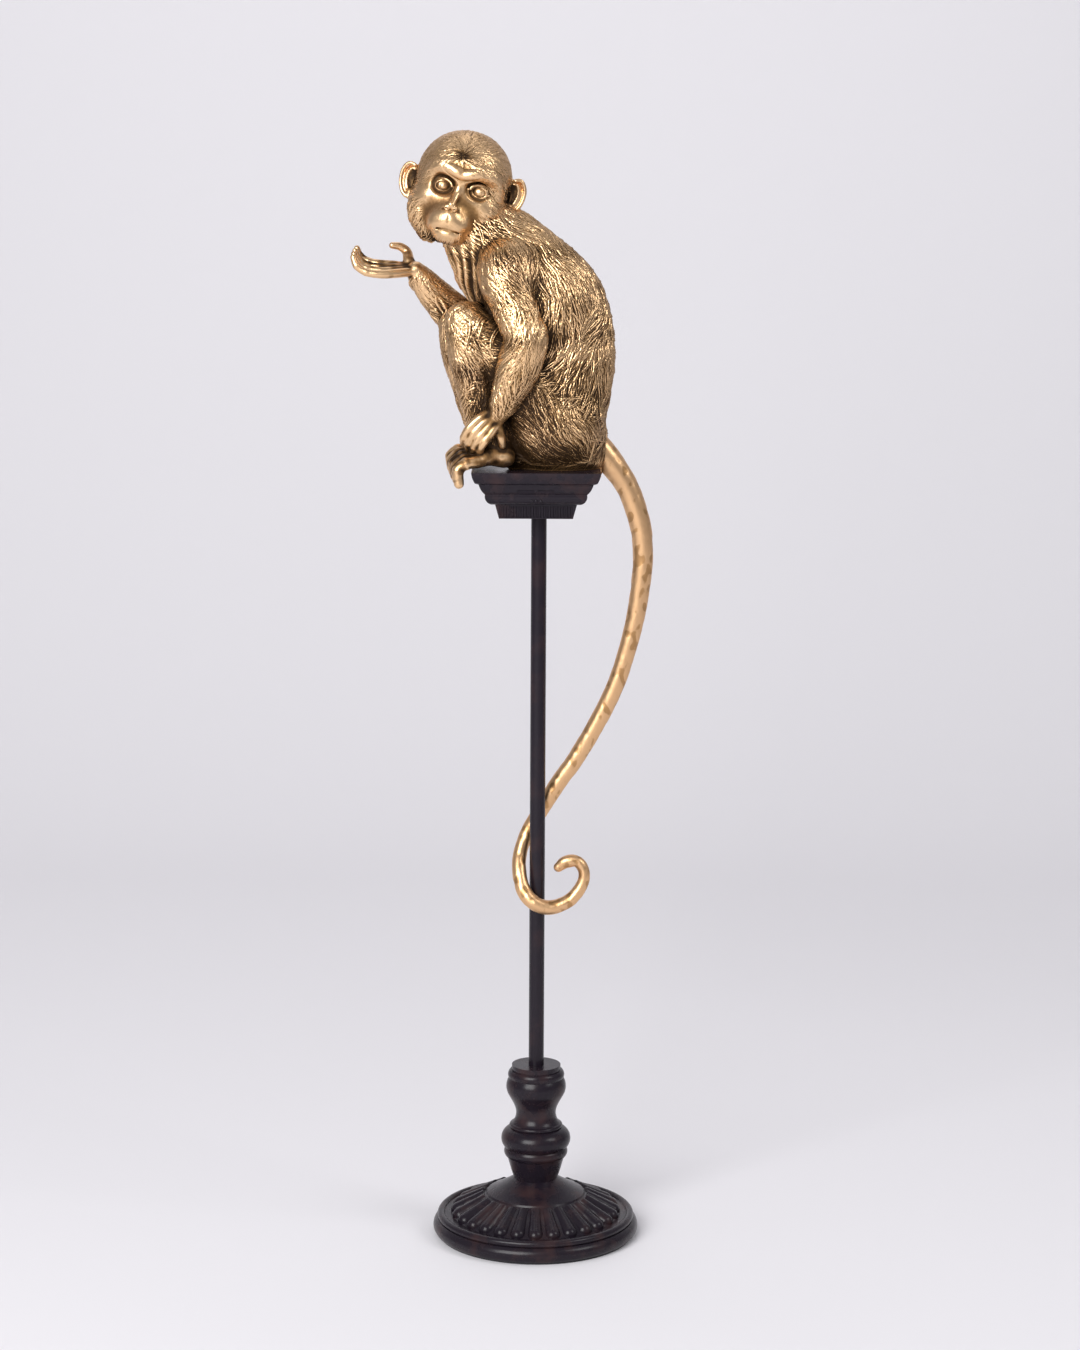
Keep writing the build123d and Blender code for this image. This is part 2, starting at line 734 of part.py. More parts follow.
brow_shares = half_brow_shares + [(-x, y, z) for x, y, z in reversed(half_brow_shares[:-1])]
with BuildPart() as brow:
    brow_points = [head_point(*row) for row in brow_shares]
    for index, point in enumerate(brow_points):
        direction = brow_points[min(index + 1, len(brow_points) - 1)] - brow_points[max(index - 1, 0)]
        with BuildSketch(Plane(point, x_dir=head_forward, z_dir=direction)):
            Circle(brow_radius_share * figure_height)
    loft()

with BuildPart() as ears:
    for side in (1, -1):
        ear_plane = Plane(
            head_point(side * ear_shares[0], ear_shares[1], ear_shares[2]),
            x_dir=head_plane.x_dir,
            z_dir=head_forward,
        )
        ear_half_width, ear_half_height = [share * figure_height for share in ear_size_shares]
        ear_thickness = ear_thickness_share * figure_height
        ear_rim = ear_rim_share * figure_height
        with BuildSketch(ear_plane):
            Ellipse(ear_half_width, ear_half_height)
        extrude(amount=ear_thickness)
        with BuildSketch(ear_plane.offset(ear_thickness / 2)):
            Ellipse(ear_half_width - ear_rim, ear_half_height - ear_rim)
        extrude(amount=ear_thickness, mode=Mode.SUBTRACT)

with BuildPart() as eyes:
    for side in (1, -1):
        with Locations(head_point(side * eye_shares[0], eye_shares[1], eye_shares[2])):
            Sphere(eye_radius_share * figure_height)

head_casting = carve(
    [ears.part, skull.part, brow.part, eyes.part],
    [torso_room, dowel_holes],
)
save(head_casting, "head")

# Tail: rows run from the root down behind the pole, round in front of it and up into the curl
# A row is across and up from the seat by the pole, as shares of the drop, then how far behind
# the pole it passes, as a share of a close pass, then its radius as a share of the root's
tail_shares = [
    (0.110, 0.062, 0.0, 1.05),
    (0.152, 0.014, 0.0, 1.00),
    (0.188, -0.037, 0.15, 0.87),
    (0.210, -0.090, 0.25, 0.84),
    (0.224, -0.143, 0.33, 0.80),
    (0.228, -0.197, 0.42, 0.77),
    (0.225, -0.250, 0.50, 0.75),
    (0.214, -0.330, 0.60, 0.71),
    (0.195, -0.411, 0.68, 0.68),
    (0.169, -0.492, 0.75, 0.68),
    (0.130, -0.574, 0.85, 0.67),
    (0.083, -0.656, 0.95, 0.66),
    (0.045, -0.711, 1.0, 0.64),
    (0.006, -0.775, 1.0, 0.60),
    (-0.022, -0.822, 0.92, 0.56),
    (-0.038, -0.866, 0.45, 0.54),
    (-0.040, -0.900, -0.15, 0.55),
    (-0.031, -0.938, -0.70, 0.57),
    (-0.010, -0.964, -1.0, 0.58),
    (0.023, -0.977, -1.0, 0.57),
    (0.059, -0.969, -0.90, 0.54),
    (0.083, -0.951, -0.82, 0.51),
    (0.101, -0.923, -0.75, 0.48),
    (0.103, -0.895, -0.70, 0.46),
    (0.088, -0.875, -0.66, 0.47),
    (0.064, -0.876, -0.64, 0.50),
    (0.048, -0.888, -0.62, 0.40),
]
tail_pass_radius_share = 0.6
tail_pass_radius = tail_pass_radius_share * tail_root_radius
tail_pass = pole_radius + tail_pass_radius + tail_clearance


def tail_loft(rows, grow=0):
    """Loft circles square to the tail's path, and round its tip."""
    points = [Vector(x * tail_drop, side * tail_pass, seat_height + z * tail_drop) for x, z, side, _ in rows]
    with BuildPart() as shape:
        for index, row in enumerate(rows):
            direction = points[min(index + 1, len(rows) - 1)] - points[max(index - 1, 0)]
            with BuildSketch(Plane(points[index], x_dir=Vector(0, 1, 0), z_dir=direction)):
                Circle(row[3] * tail_root_radius + grow)
        loft()
        with Locations(points[-1]):
            Sphere(rows[-1][3] * tail_root_radius * end_round_share + grow)
    return shape.part


tail_casting = carve([tail_loft(tail_shares)], [torso_room, slab_room.part, dowel_holes])
save(tail_casting, "tail")
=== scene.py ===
import json
import math

import bpy
import numpy as np
from mathutils import Matrix, Vector


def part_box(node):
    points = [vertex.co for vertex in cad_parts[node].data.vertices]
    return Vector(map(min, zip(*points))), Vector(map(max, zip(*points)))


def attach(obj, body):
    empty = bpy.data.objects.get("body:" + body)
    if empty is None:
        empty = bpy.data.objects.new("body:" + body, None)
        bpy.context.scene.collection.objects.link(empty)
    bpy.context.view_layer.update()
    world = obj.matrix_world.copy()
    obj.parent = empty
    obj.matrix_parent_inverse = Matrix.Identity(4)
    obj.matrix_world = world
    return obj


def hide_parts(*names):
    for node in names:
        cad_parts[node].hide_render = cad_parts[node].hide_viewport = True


bl_info = {
    "name": "Gilded Monkey Figurine",
    "version": (1, 0, 0),
    "blender": (4, 5, 0),
    "location": "3D View > Sidebar > Figurine",
    "description": "Dresses the figurine's frame with its sculpted castings and finishes",
    "category": "Object",
}

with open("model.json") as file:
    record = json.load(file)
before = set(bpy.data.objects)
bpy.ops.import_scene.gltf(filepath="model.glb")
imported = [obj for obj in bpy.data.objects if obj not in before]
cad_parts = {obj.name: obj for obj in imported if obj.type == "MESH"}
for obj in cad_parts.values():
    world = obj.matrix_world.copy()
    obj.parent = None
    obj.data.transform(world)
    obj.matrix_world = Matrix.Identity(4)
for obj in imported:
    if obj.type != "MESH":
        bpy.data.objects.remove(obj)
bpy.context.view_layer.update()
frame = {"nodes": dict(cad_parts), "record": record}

# A millimetre in metres, a distance beyond every form in millimetres, and a guard against dividing by zero
MM = 0.001
FAR = 60.0
TINY = 1e-6

# Driving sizes of the figure, in millimetres, as in the frame
FIGURE_HEIGHT = 255.0
TAIL_DROP = 353.0
TAIL_ROOT_RADIUS = 10.5
CAPITAL_LOW, CAPITAL_HIGH = (np.array(corner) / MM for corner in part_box("capital_block"))
SEAT = CAPITAL_HIGH[2]
FIGURE_SHIFT = (CAPITAL_LOW[0] + CAPITAL_HIGH[0]) / 2
POLE_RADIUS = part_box("pole")[1].x / MM
TAIL_SHARE_AT_POLE = 0.6
TAIL_POLE_GAP = 0.4
TAIL_PASS = POLE_RADIUS + TAIL_SHARE_AT_POLE * TAIL_ROOT_RADIUS + TAIL_POLE_GAP

PIECE_QUADS = 95000


def fineness(step):
    return step * 1.0


# Limb rows, as shares of the figure's height: sideways, away and up from the seat, then the half sizes
# in the plane in which the limb bends and across it
TORSO = [
    (0.072, 0, -0.030, 0.118, 0.112), (0.070, 0, 0.010, 0.130, 0.126), (0.068, 0, 0.060, 0.140, 0.138),
    (0.065, 0, 0.150, 0.138, 0.140), (0.062, 0, 0.260, 0.160, 0.140), (0.048, 0, 0.360, 0.180, 0.146),
    (0.010, 0, 0.470, 0.190, 0.152), (-0.050, 0, 0.560, 0.163, 0.142), (-0.115, 0, 0.640, 0.137, 0.116),
    (-0.170, 0, 0.690, 0.110, 0.098), (-0.205, -0.005, 0.740, 0.084, 0.084),
]
LEFT_ARM = [
    (-0.085, -0.105, 0.620, 0.078, 0.058), (-0.080, -0.150, 0.530, 0.069, 0.055),
    (-0.052, -0.176, 0.450, 0.060, 0.052), (-0.036, -0.184, 0.390, 0.058, 0.050),
    (-0.048, -0.180, 0.335, 0.062, 0.050), (-0.068, -0.176, 0.270, 0.056, 0.046),
    (-0.094, -0.170, 0.210, 0.042, 0.036), (-0.120, -0.168, 0.165, 0.029, 0.025),
]
RIGHT_UPPER_ARM = [
    (-0.100, 0.110, 0.600, 0.070, 0.060), (-0.145, 0.135, 0.500, 0.060, 0.055),
    (-0.190, 0.125, 0.400, 0.050, 0.048),
]
RIGHT_FOREARM = [
    (-0.185, 0.125, 0.385, 0.048, 0.046), (-0.250, 0.100, 0.452, 0.056, 0.050),
    (-0.290, 0.088, 0.490, 0.052, 0.045), (-0.331, 0.075, 0.536, 0.043, 0.038),
    (-0.365, 0.064, 0.580, 0.028, 0.028),
]
LEFT_THIGH = [
    (0.060, -0.095, 0.100, 0.105, 0.072), (-0.020, -0.105, 0.220, 0.088, 0.070),
    (-0.120, -0.108, 0.350, 0.072, 0.060), (-0.204, -0.105, 0.442, 0.056, 0.052),
]
LEFT_SHIN = [
    (-0.212, -0.105, 0.445, 0.056, 0.052), (-0.187, -0.105, 0.350, 0.074, 0.058),
    (-0.180, -0.105, 0.265, 0.060, 0.048), (-0.158, -0.108, 0.176, 0.058, 0.040),
    (-0.132, -0.110, 0.110, 0.050, 0.038), (-0.116, -0.112, 0.056, 0.043, 0.036),
]
RIGHT_THIGH = [
    (0.060, 0.095, 0.100, 0.105, 0.072), (-0.020, 0.095, 0.220, 0.088, 0.070),
    (-0.130, 0.078, 0.335, 0.070, 0.062), (-0.220, 0.060, 0.410, 0.058, 0.053),
]
RIGHT_SHIN = [
    (-0.235, 0.055, 0.415, 0.056, 0.052), (-0.232, 0.052, 0.340, 0.055, 0.048),
    (-0.218, 0.050, 0.265, 0.046, 0.043), (-0.200, 0.052, 0.195, 0.040, 0.037),
    (-0.180, 0.055, 0.125, 0.034, 0.033), (-0.155, 0.058, 0.062, 0.036, 0.034),
]
LIMBS = {
    "torso": [TORSO],
    "left_arm": [LEFT_ARM],
    "right_arm": [RIGHT_UPPER_ARM, RIGHT_FOREARM],
    "left_leg": [LEFT_THIGH, LEFT_SHIN],
    "right_leg": [RIGHT_THIGH, RIGHT_SHIN],
}
# Swellings on the body: name of the limb, place and half sizes, as shares of the figure's height
SWELLINGS = [
    ("left_arm", (-0.088, -0.128, 0.575), (0.078, 0.058, 0.085)),
    ("left_leg", (0.070, -0.085, 0.120), (0.118, 0.088, 0.118)),
    ("right_leg", (0.070, 0.085, 0.120), (0.118, 0.088, 0.118)),
    ("torso", (0.060, -0.055, 0.500), (0.100, 0.080, 0.130)),
    ("torso", (0.060, 0.055, 0.500), (0.100, 0.080, 0.130)),
    ("torso", (-0.190, 0.000, 0.620), (0.050, 0.070, 0.090)),
    ("left_arm", (-0.024, -0.184, 0.392), (0.044, 0.038, 0.048)),
    ("left_leg", (-0.070, -0.075, 0.110), (0.040, 0.032, 0.115)),
]
# Lock sizes on each limb, in millimetres: length, width, height
LOCKS = {
    "torso": (31.0, 5.8, 2.9),
    "left_arm": (24.0, 4.4, 1.8),
    "right_arm": (20.0, 4.0, 1.4),
    "left_leg": (24.0, 4.4, 1.8),
    "right_leg": (20.0, 4.2, 1.4),
}
# Digits, from the wrist or ankle to the tip: place, radius, and but for the thumbs how far they stand apart
LEFT_FINGERS = [
    (-0.112, -0.168, 0.178, 0.0130, 0.40), (-0.146, -0.178, 0.146, 0.0135, 0.85),
    (-0.176, -0.180, 0.112, 0.0125, 1.00), (-0.192, -0.164, 0.082, 0.0116, 1.00),
    (-0.194, -0.138, 0.062, 0.0110, 0.95), (-0.184, -0.116, 0.052, 0.0098, 0.90),
]
LEFT_THUMB = [
    (-0.118, -0.168, 0.160, 0.014), (-0.112, -0.166, 0.130, 0.014), (-0.104, -0.160, 0.100, 0.013),
    (-0.100, -0.150, 0.078, 0.011),
]
RIGHT_FINGERS = [
    (-0.372, 0.062, 0.582, 0.0140, 0.30), (-0.425, 0.060, 0.584, 0.0138, 0.78),
    (-0.470, 0.058, 0.585, 0.0126, 1.00), (-0.512, 0.058, 0.592, 0.0115, 1.05),
    (-0.540, 0.058, 0.611, 0.0110, 1.05), (-0.550, 0.058, 0.636, 0.0094, 1.00),
]
RIGHT_THUMB = [
    (-0.368, 0.070, 0.584, 0.018), (-0.385, 0.085, 0.604, 0.018), (-0.392, 0.100, 0.634, 0.0145),
    (-0.412, 0.098, 0.650, 0.0125), (-0.436, 0.092, 0.654, 0.0100),
]
LEFT_TOES = [
    (-0.100, -0.110, 0.046, 0.0340, 0.25), (-0.145, -0.112, 0.050, 0.0280, 0.45),
    (-0.190, -0.116, 0.044, 0.0200, 0.90), (-0.222, -0.118, 0.040, 0.0180, 1.00),
    (-0.246, -0.119, 0.020, 0.0172, 1.00), (-0.244, -0.120, -0.020, 0.0150, 1.00),
]
RIGHT_TOES = [
    (-0.135, 0.058, 0.050, 0.0195, 0.35), (-0.160, 0.056, 0.042, 0.0160, 0.75),
    (-0.184, 0.052, 0.034, 0.0128, 1.00), (-0.214, 0.050, 0.035, 0.0114, 1.00),
    (-0.228, 0.048, 0.016, 0.0112, 1.00), (-0.224, 0.047, -0.006, 0.0098, 1.00),
]
# Hands and feet: limb, rows, step between digits, the line they stand along, and the length of each
FANS = [
    ("left_arm", LEFT_FINGERS, 0.0205, (-0.76, 0.0, 0.62), (0.90, 1.0, 1.0, 0.92)),
    ("right_arm", RIGHT_FINGERS, 0.0250, (0.0, 1.0, 0.364), (0.99, 0.98, 0.95, 0.90)),
    ("left_leg", LEFT_TOES, 0.0260, (-0.30, 0.95, 0.28), (1.0, 0.96, 0.94, 0.90, 0.86)),
    ("right_leg", RIGHT_TOES, 0.0235, (0.0, 1.0, 0.0), (0.92, 1.0, 1.0, 0.96, 0.86)),
]
THUMBS = [("left_arm", LEFT_THUMB), ("right_arm", RIGHT_THUMB)]
# Tail rows: sideways and up as shares of its drop, away as a share of its pass beside the pole, and the
# radius as a share of the root's
TAIL = [
    (0.110, 0.062, 0, 1.05), (0.152, 0.014, 0, 1.0), (0.188, -0.037, 0.15, 0.87),
    (0.210, -0.090, 0.25, 0.84), (0.224, -0.143, 0.33, 0.80), (0.228, -0.197, 0.42, 0.77),
    (0.225, -0.250, 0.50, 0.75), (0.214, -0.330, 0.60, 0.71), (0.195, -0.411, 0.68, 0.68),
    (0.169, -0.492, 0.75, 0.68), (0.130, -0.574, 0.85, 0.67), (0.083, -0.656, 0.95, 0.66),
    (0.045, -0.711, 1, 0.64), (0.006, -0.775, 1, 0.60), (-0.022, -0.822, 0.92, 0.56),
    (-0.038, -0.866, 0.45, 0.54), (-0.040, -0.900, -0.15, 0.55), (-0.031, -0.938, -0.70, 0.57),
    (-0.010, -0.964, -1, 0.58), (0.023, -0.977, -1, 0.57), (0.059, -0.969, -0.90, 0.54),
    (0.083, -0.951, -0.82, 0.51), (0.101, -0.923, -0.75, 0.48), (0.103, -0.895, -0.70, 0.46),
    (0.088, -0.875, -0.66, 0.47), (0.064, -0.876, -0.64, 0.50), (0.048, -0.888, -0.62, 0.40),
]


def place(sideways, away, up):
    """A place on the figure in millimetres, from shares of its height."""
    return np.array((sideways, away, up)) * FIGURE_HEIGHT + (FIGURE_SHIFT, 0, SEAT)


def unit(vectors):
    """Vectors scaled to length one."""
    return vectors / np.maximum(np.sqrt((vectors**2).sum(-1, keepdims=True)), TINY)


def turned(degrees):
    """Rotation matrix for turns about X, then Y, then Z."""
    ax, ay, az = np.radians(degrees)
    rx = np.array(((1, 0, 0), (0, math.cos(ax), -math.sin(ax)), (0, math.sin(ax), math.cos(ax))))
    ry = np.array(((math.cos(ay), 0, math.sin(ay)), (0, 1, 0), (-math.sin(ay), 0, math.cos(ay))))
    rz = np.array(((math.cos(az), -math.sin(az), 0), (math.sin(az), math.cos(az), 0), (0, 0, 1)))
    return rz @ ry @ rx


def smooth_rows(rows, fill):
    """Rows of numbers joined by Catmull-Rom curves, with `fill` rows for each span."""
    rows = np.array(rows, float)
    padded = np.vstack((2 * rows[0] - rows[1], rows, 2 * rows[-1] - rows[-2]))
    spans = np.arange(len(rows) - 1)
    t = np.linspace(0, 1, fill, endpoint=False)[None, :, None]
    a, b, c, d = (padded[spans + shift][:, None, :] for shift in range(4))
    curve = 0.5 * (2 * b + (c - a) * t + (2 * a - 5 * b + 4 * c - d) * t**2 + (3 * b - a - 3 * c + d) * t**3)
    return np.vstack((curve.reshape(-1, rows.shape[1]), rows[-1:]))


# Forms, each with its bounds and its distance at any place, below zero inside, and the sums they share
def egg_gap(offsets, axes, halves):
    """Distance to an ellipsoid: the scaled radius minus one, brought back to millimetres by its own slope."""
    scaled = 0.0
    sloped = TINY
    for axis, half in zip(axes, halves):
        along = axis[0] * offsets[0] + axis[1] * offsets[1] + axis[2] * offsets[2]
        scaled = scaled + (along / half) ** 2
        sloped = sloped + (along / half**2) ** 2
    scaled = np.sqrt(scaled)
    return scaled * (scaled - 1) / np.sqrt(sloped)


def line_share(x, y, z, start, along):
    """How far along a line each place lies, from 0 to 1, and its offsets from the line there."""
    sx, sy, sz = start
    ax, ay, az = along
    share = ((x - sx) * ax + (y - sy) * ay + (z - sz) * az) / (ax * ax + ay * ay + az * az + TINY)
    share = np.clip(share, 0, 1)
    return share, (x - sx - share * ax, y - sy - share * ay, z - sz - share * az)


class Egg:
    """Ellipsoid with its own centre, half sizes and turn."""

    def __init__(self, centre, radii, turn=(0, 0, 0)):
        self.centre = np.array(centre, float)
        self.radii = np.array(radii, float)
        self.axes = turned(turn).T
        reach = np.sqrt(((self.axes.T * self.radii) ** 2).sum(1))
        self.low = self.centre - reach
        self.high = self.centre + reach

    def distance(self, x, y, z):
        offsets = (x - self.centre[0], y - self.centre[1], z - self.centre[2])
        return egg_gap(offsets, self.axes, self.radii)


class Rod:
    """Round rod with ball ends that tapers from one radius to the other."""

    def __init__(self, start, end, start_radius, end_radius):
        self.start = np.array(start, float)
        self.along = np.array(end, float) - self.start
        self.radii = (start_radius, end_radius)
        ends = np.vstack((self.start, self.start + self.along))
        widest = max(self.radii)
        self.low = ends.min(0) - widest
        self.high = ends.max(0) + widest

    def distance(self, x, y, z):
        share, (dx, dy, dz) = line_share(x, y, z, self.start, self.along)
        radius = self.radii[0] + share * (self.radii[1] - self.radii[0])
        return np.sqrt(dx**2 + dy**2 + dz**2) - radius


def rods(points, radii):
    """A bent rod: one tapered rod for each span of a path."""
    return [Rod(points[i], points[i + 1], radii[i], radii[i + 1]) for i in range(len(points) - 1)]


class Block:
    """Square block between two corners: the distance outside its faces, below zero inside."""

    def __init__(self, low, high):
        self.low = np.array(low, float)
        self.high = np.array(high, float)

    def distance(self, x, y, z):
        middle, half = (self.low + self.high) / 2, (self.high - self.low) / 2
        gaps = [abs(value - middle[i]) - half[i] for i, value in enumerate((x, y, z))]
        outside = np.sqrt(sum(np.maximum(gap, 0) ** 2 for gap in gaps))
        return outside + np.minimum(np.maximum(np.maximum(gaps[0], gaps[1]), gaps[2]), 0)


def ring(centre, first, second, radius, turns=(0.0, 1.0), parts=20):
    """A round rod along an ellipse, whose two half axes are given as vectors, over a part of a turn."""
    angles = 2 * math.pi * np.linspace(*turns, parts + 1)[:, None]
    points = np.array(centre) + np.cos(angles) * np.array(first) + np.sin(angles) * np.array(second)
    return rods(points, np.full(len(points), radius))


def bent_rod(rows, fill=4):
    """A round rod through rows of a place and a radius, in millimetres, along a smooth curve."""
    dense = smooth_rows(rows, fill)
    return rods(dense[:, :3], dense[:, 3])


# Places of a digit's curve between two of its rows, where its knuckle and its joints are, and their swelling
DIGIT_FILL = 4
KNUCKLE = 2 * DIGIT_FILL
JOINTS = np.array([3, 4]) * DIGIT_FILL
JOINT_SWELLING = 1.10


def digit_curve(rows):
    """A digit's smooth rows, their places and their radii, in millimetres."""
    dense = smooth_rows(rows, DIGIT_FILL)
    points = np.array([place(*row[:3]) for row in dense])
    return dense, points, dense[:, 3] * FIGURE_HEIGHT


def finger(rows, shift, length):
    """One finger or toe: rods along its rows, moved sideways, and shortened past the knuckle."""
    dense, points, radii = digit_curve(rows)
    points = points + dense[:, 4:5] * np.array(shift) * FIGURE_HEIGHT
    points[KNUCKLE:] = points[KNUCKLE] + (points[KNUCKLE:] - points[KNUCKLE]) * length
    radii[JOINTS] *= JOINT_SWELLING
    return rods(points, radii)


class Span:
    """One stretch of a limb: an ellipse that changes evenly from one row to the next."""

    def __init__(self, points, halves, axes):
        self.points = points
        self.halves = halves
        self.axes = axes
        self.low = points.min(0) - halves.max()
        self.high = points.max(0) + halves.max()

    def distance(self, x, y, z):
        share, offsets = line_share(x, y, z, self.points[0], self.points[1] - self.points[0])
        first, last = self.halves
        half_in = first[0] + share * (last[0] - first[0])
        half_over = first[1] + share * (last[1] - first[1])
        return egg_gap(offsets, self.axes, (half_in, half_over, np.minimum(half_in, half_over)))


def limb_spans(rows, fill=5):
    """The spans of a limb along a smooth curve through its rows; a span's third axis is the way it runs."""
    dense = smooth_rows(rows, fill)
    points = np.array([place(*row[:3]) for row in dense])
    halves = dense[:, 3:5] * FIGURE_HEIGHT
    ahead = unit(np.gradient(points, axis=0))
    inner = unit(np.cross((0, 1, 0), ahead))
    across = np.cross(ahead, inner)
    axes = np.stack((inner, across, ahead), 1)
    return [Span(points[i:i + 2], halves[i:i + 2], axes[i]) for i in range(len(points) - 1)]


class Clay:
    """A block of distances, in millimetres, on an even grid."""

    def __init__(self, low, high, step):
        self.step = step
        self.low = np.array(low, float)
        counts = np.ceil((np.array(high) - self.low) / step).astype(int) + 1
        self.marks = [(self.low[i] + step * np.arange(counts[i])).astype(np.float32) for i in range(3)]
        self.field = np.full(counts, FAR, np.float32)

    def window(self, low, high):
        """The part of the grid between two corners, and its coordinates."""
        spans = tuple(
            slice(np.searchsorted(self.marks[i], low[i]), np.searchsorted(self.marks[i], high[i], "right"))
            for i in range(3)
        )
        x, y, z = (self.marks[i][spans[i]] for i in range(3))
        return spans, (x[:, None, None], y[None, :, None], z[None, None, :])

    def add(self, form, soften=0.0):
        """Join a form on, with a soft crease."""
        margin = soften + 2 * self.step
        spans, at = self.window(form.low - margin, form.high + margin)
        self.field[spans] = soft_least(self.field[spans], form.distance(*at), soften)

    def cut(self, *forms, soften=0.0):
        """Carve forms away, with a soft edge."""
        margin = soften + 2 * self.step
        for form in forms:
            spans, at = self.window(form.low - margin, form.high + margin)
            self.field[spans] = -soft_least(-self.field[spans], form.distance(*at), soften)

    def add_group(self, forms, soften, within=0.0):
        """Join a group on: its forms meet with one crease among themselves and another with the rest."""
        margin = soften + 2 * self.step
        low = np.min([form.low for form in forms], 0) - margin
        high = np.max([form.high for form in forms], 0) + margin
        spans, _ = self.window(low, high)
        group = Clay(low, high, self.step)
        group.marks = [self.marks[i][spans[i]] for i in range(3)]
        group.field = np.full(self.field[spans].shape, FAR, np.float32)
        for form in forms:
            inner, at = group.window(form.low - margin, form.high + margin)
            group.field[inner] = soft_least(group.field[inner], form.distance(*at), within)
        self.field[spans] = soft_least(self.field[spans], group.field, soften)

    def crowding(self, points, radius):
        """How full a cube of this half side is about each point: a half on a flat face, more in a recess.

        Running sums count the filled cells along each axis in turn, and the counts are read between cells."""
        stride = 3
        filled = np.pad((self.field[::stride, ::stride, ::stride] < 0).astype(np.float32), 1)
        half = max(int(round(radius / (self.step * stride))), 1)
        for axis in range(3):
            margins = [(half + 1, half) if i == axis else (0, 0) for i in range(3)]
            total = np.cumsum(np.pad(filled, margins), axis)
            length = filled.shape[axis]
            later = np.take(total, np.arange(length) + 2 * half + 1, axis, mode="clip")
            filled = (later - np.take(total, np.arange(length), axis)) / (2 * half + 1)
        at = (points - self.low) / (self.step * stride) + 1
        corner = np.clip(np.floor(at).astype(int), 0, np.array(filled.shape) - 2)
        share = np.clip(at - corner, 0, 1)
        result = np.zeros(len(points))
        for step in np.ndindex(2, 2, 2):
            weight = np.prod(np.where(step, share, 1 - share), 1)
            result += weight * filled[tuple((corner + step).T)]
        return result

    def skin(self):
        """Surface nets: a point in each cell the surface crosses, a quad over each crossed grid edge."""
        inside = self.field < 0
        count = np.zeros(tuple(n - 1 for n in inside.shape), np.int8)
        corners = [(i, j, k) for i in (0, 1) for j in (0, 1) for k in (0, 1)]
        n = inside.shape
        for i, j, k in corners:
            count += inside[i:n[0] - 1 + i, j:n[1] - 1 + j, k:n[2] - 1 + k]
        cells = np.argwhere((count > 0) & (count < 8))
        index = np.full(count.shape, -1, np.int64)
        index[tuple(cells.T)] = np.arange(len(cells))
        total = np.zeros((len(cells), 3))
        crossings = np.zeros(len(cells))
        for start in corners:
            for axis in range(3):
                if start[axis]:
                    continue
                end = tuple(1 if i == axis else start[i] for i in range(3))
                first = self.field[tuple((cells + start).T)]
                second = self.field[tuple((cells + end).T)]
                crossed = (first < 0) != (second < 0)
                share = np.where(crossed, first / np.where(crossed, first - second, 1), 0)
                spot = np.tile(np.array(start, float), (len(cells), 1))
                spot[:, axis] += share
                total += spot * crossed[:, None]
                crossings += crossed
        points = self.low + (cells + total / crossings[:, None]) * self.step
        quads = []
        for axis in range(3):
            second_axis, third_axis = (axis + 1) % 3, (axis + 2) % 3
            ahead = [slice(None)] * 3
            behind = [slice(None)] * 3
            ahead[axis], behind[axis] = slice(1, None), slice(None, -1)
            crossed = inside[tuple(behind)] != inside[tuple(ahead)]
            spots = np.argwhere(crossed)
            for other in (second_axis, third_axis):
                spots = spots[(spots[:, other] > 0) & (spots[:, other] < n[other] - 1)]
            around = []
            for second, third in ((-1, -1), (0, -1), (0, 0), (-1, 0)):
                cell = spots.copy()
                cell[:, second_axis] += second
                cell[:, third_axis] += third
                around.append(index[tuple(cell.T)])
            quad = np.stack(around, 1)
            outward = inside[tuple(spots.T)]
            quads.append(np.where(outward[:, None], quad, quad[:, ::-1]))
        return points, np.vstack(quads)


def soft_least(first, second, soften):
    """The lesser of two distances, rounded off where they are within `soften` of one another."""
    least = np.minimum(first, second)
    if soften <= 0:
        return least
    near = np.maximum(soften - np.abs(first - second), 0) / soften
    return least - near * near * soften / 4


# Work on skins, as whole arrays of points and quads
def neighbour_pairs(quads):
    """Each edge of a closed skin once in each direction, as the quads beside it run opposite ways."""
    return np.vstack([quads[:, [i, (i + 1) % 4]] for i in range(4)])


def dot(first, second):
    """Dot products of rows of three numbers."""
    return first[..., 0] * second[..., 0] + first[..., 1] * second[..., 1] + first[..., 2] * second[..., 2]


def inside_box(points, low, high):
    """Which points lie between two corners."""
    kept = (points[:, 0] > low[0]) & (points[:, 0] < high[0])
    for i in (1, 2):
        kept &= (points[:, i] > low[i]) & (points[:, i] < high[i])
    return kept


def spread(values, pairs, count):
    """The mean over each point's neighbours."""
    weight = np.bincount(pairs[:, 0], minlength=count)
    columns = [np.bincount(pairs[:, 0], column[pairs[:, 1]], minlength=count) for column in values.T]
    return np.stack(columns, 1) / np.maximum(weight, 1)[:, None]


def relax(points, pairs, times, share=0.5):
    """Even out a skin by moving each point towards the mean of its neighbours."""
    for _ in range(times):
        points = points + share * (spread(points, pairs, len(points)) - points)
    return points


def normals_of(points, quads):
    """Point normals: the area normals of the quads around each point, added and scaled."""
    first = points[quads[:, 2]] - points[quads[:, 0]]
    second = points[quads[:, 3]] - points[quads[:, 1]]
    facing = np.cross(first, second)
    normals = np.zeros_like(points)
    for column in range(4):
        for i in range(3):
            normals[:, i] += np.bincount(quads[:, column], facing[:, i], minlength=len(points))
    return unit(normals)


# How often a skin is smoothed before its hollows are measured against it, and the weight of each measure
HOLLOW_SCALES = ((3, 1.0), (12, 0.7), (48, 0.3))


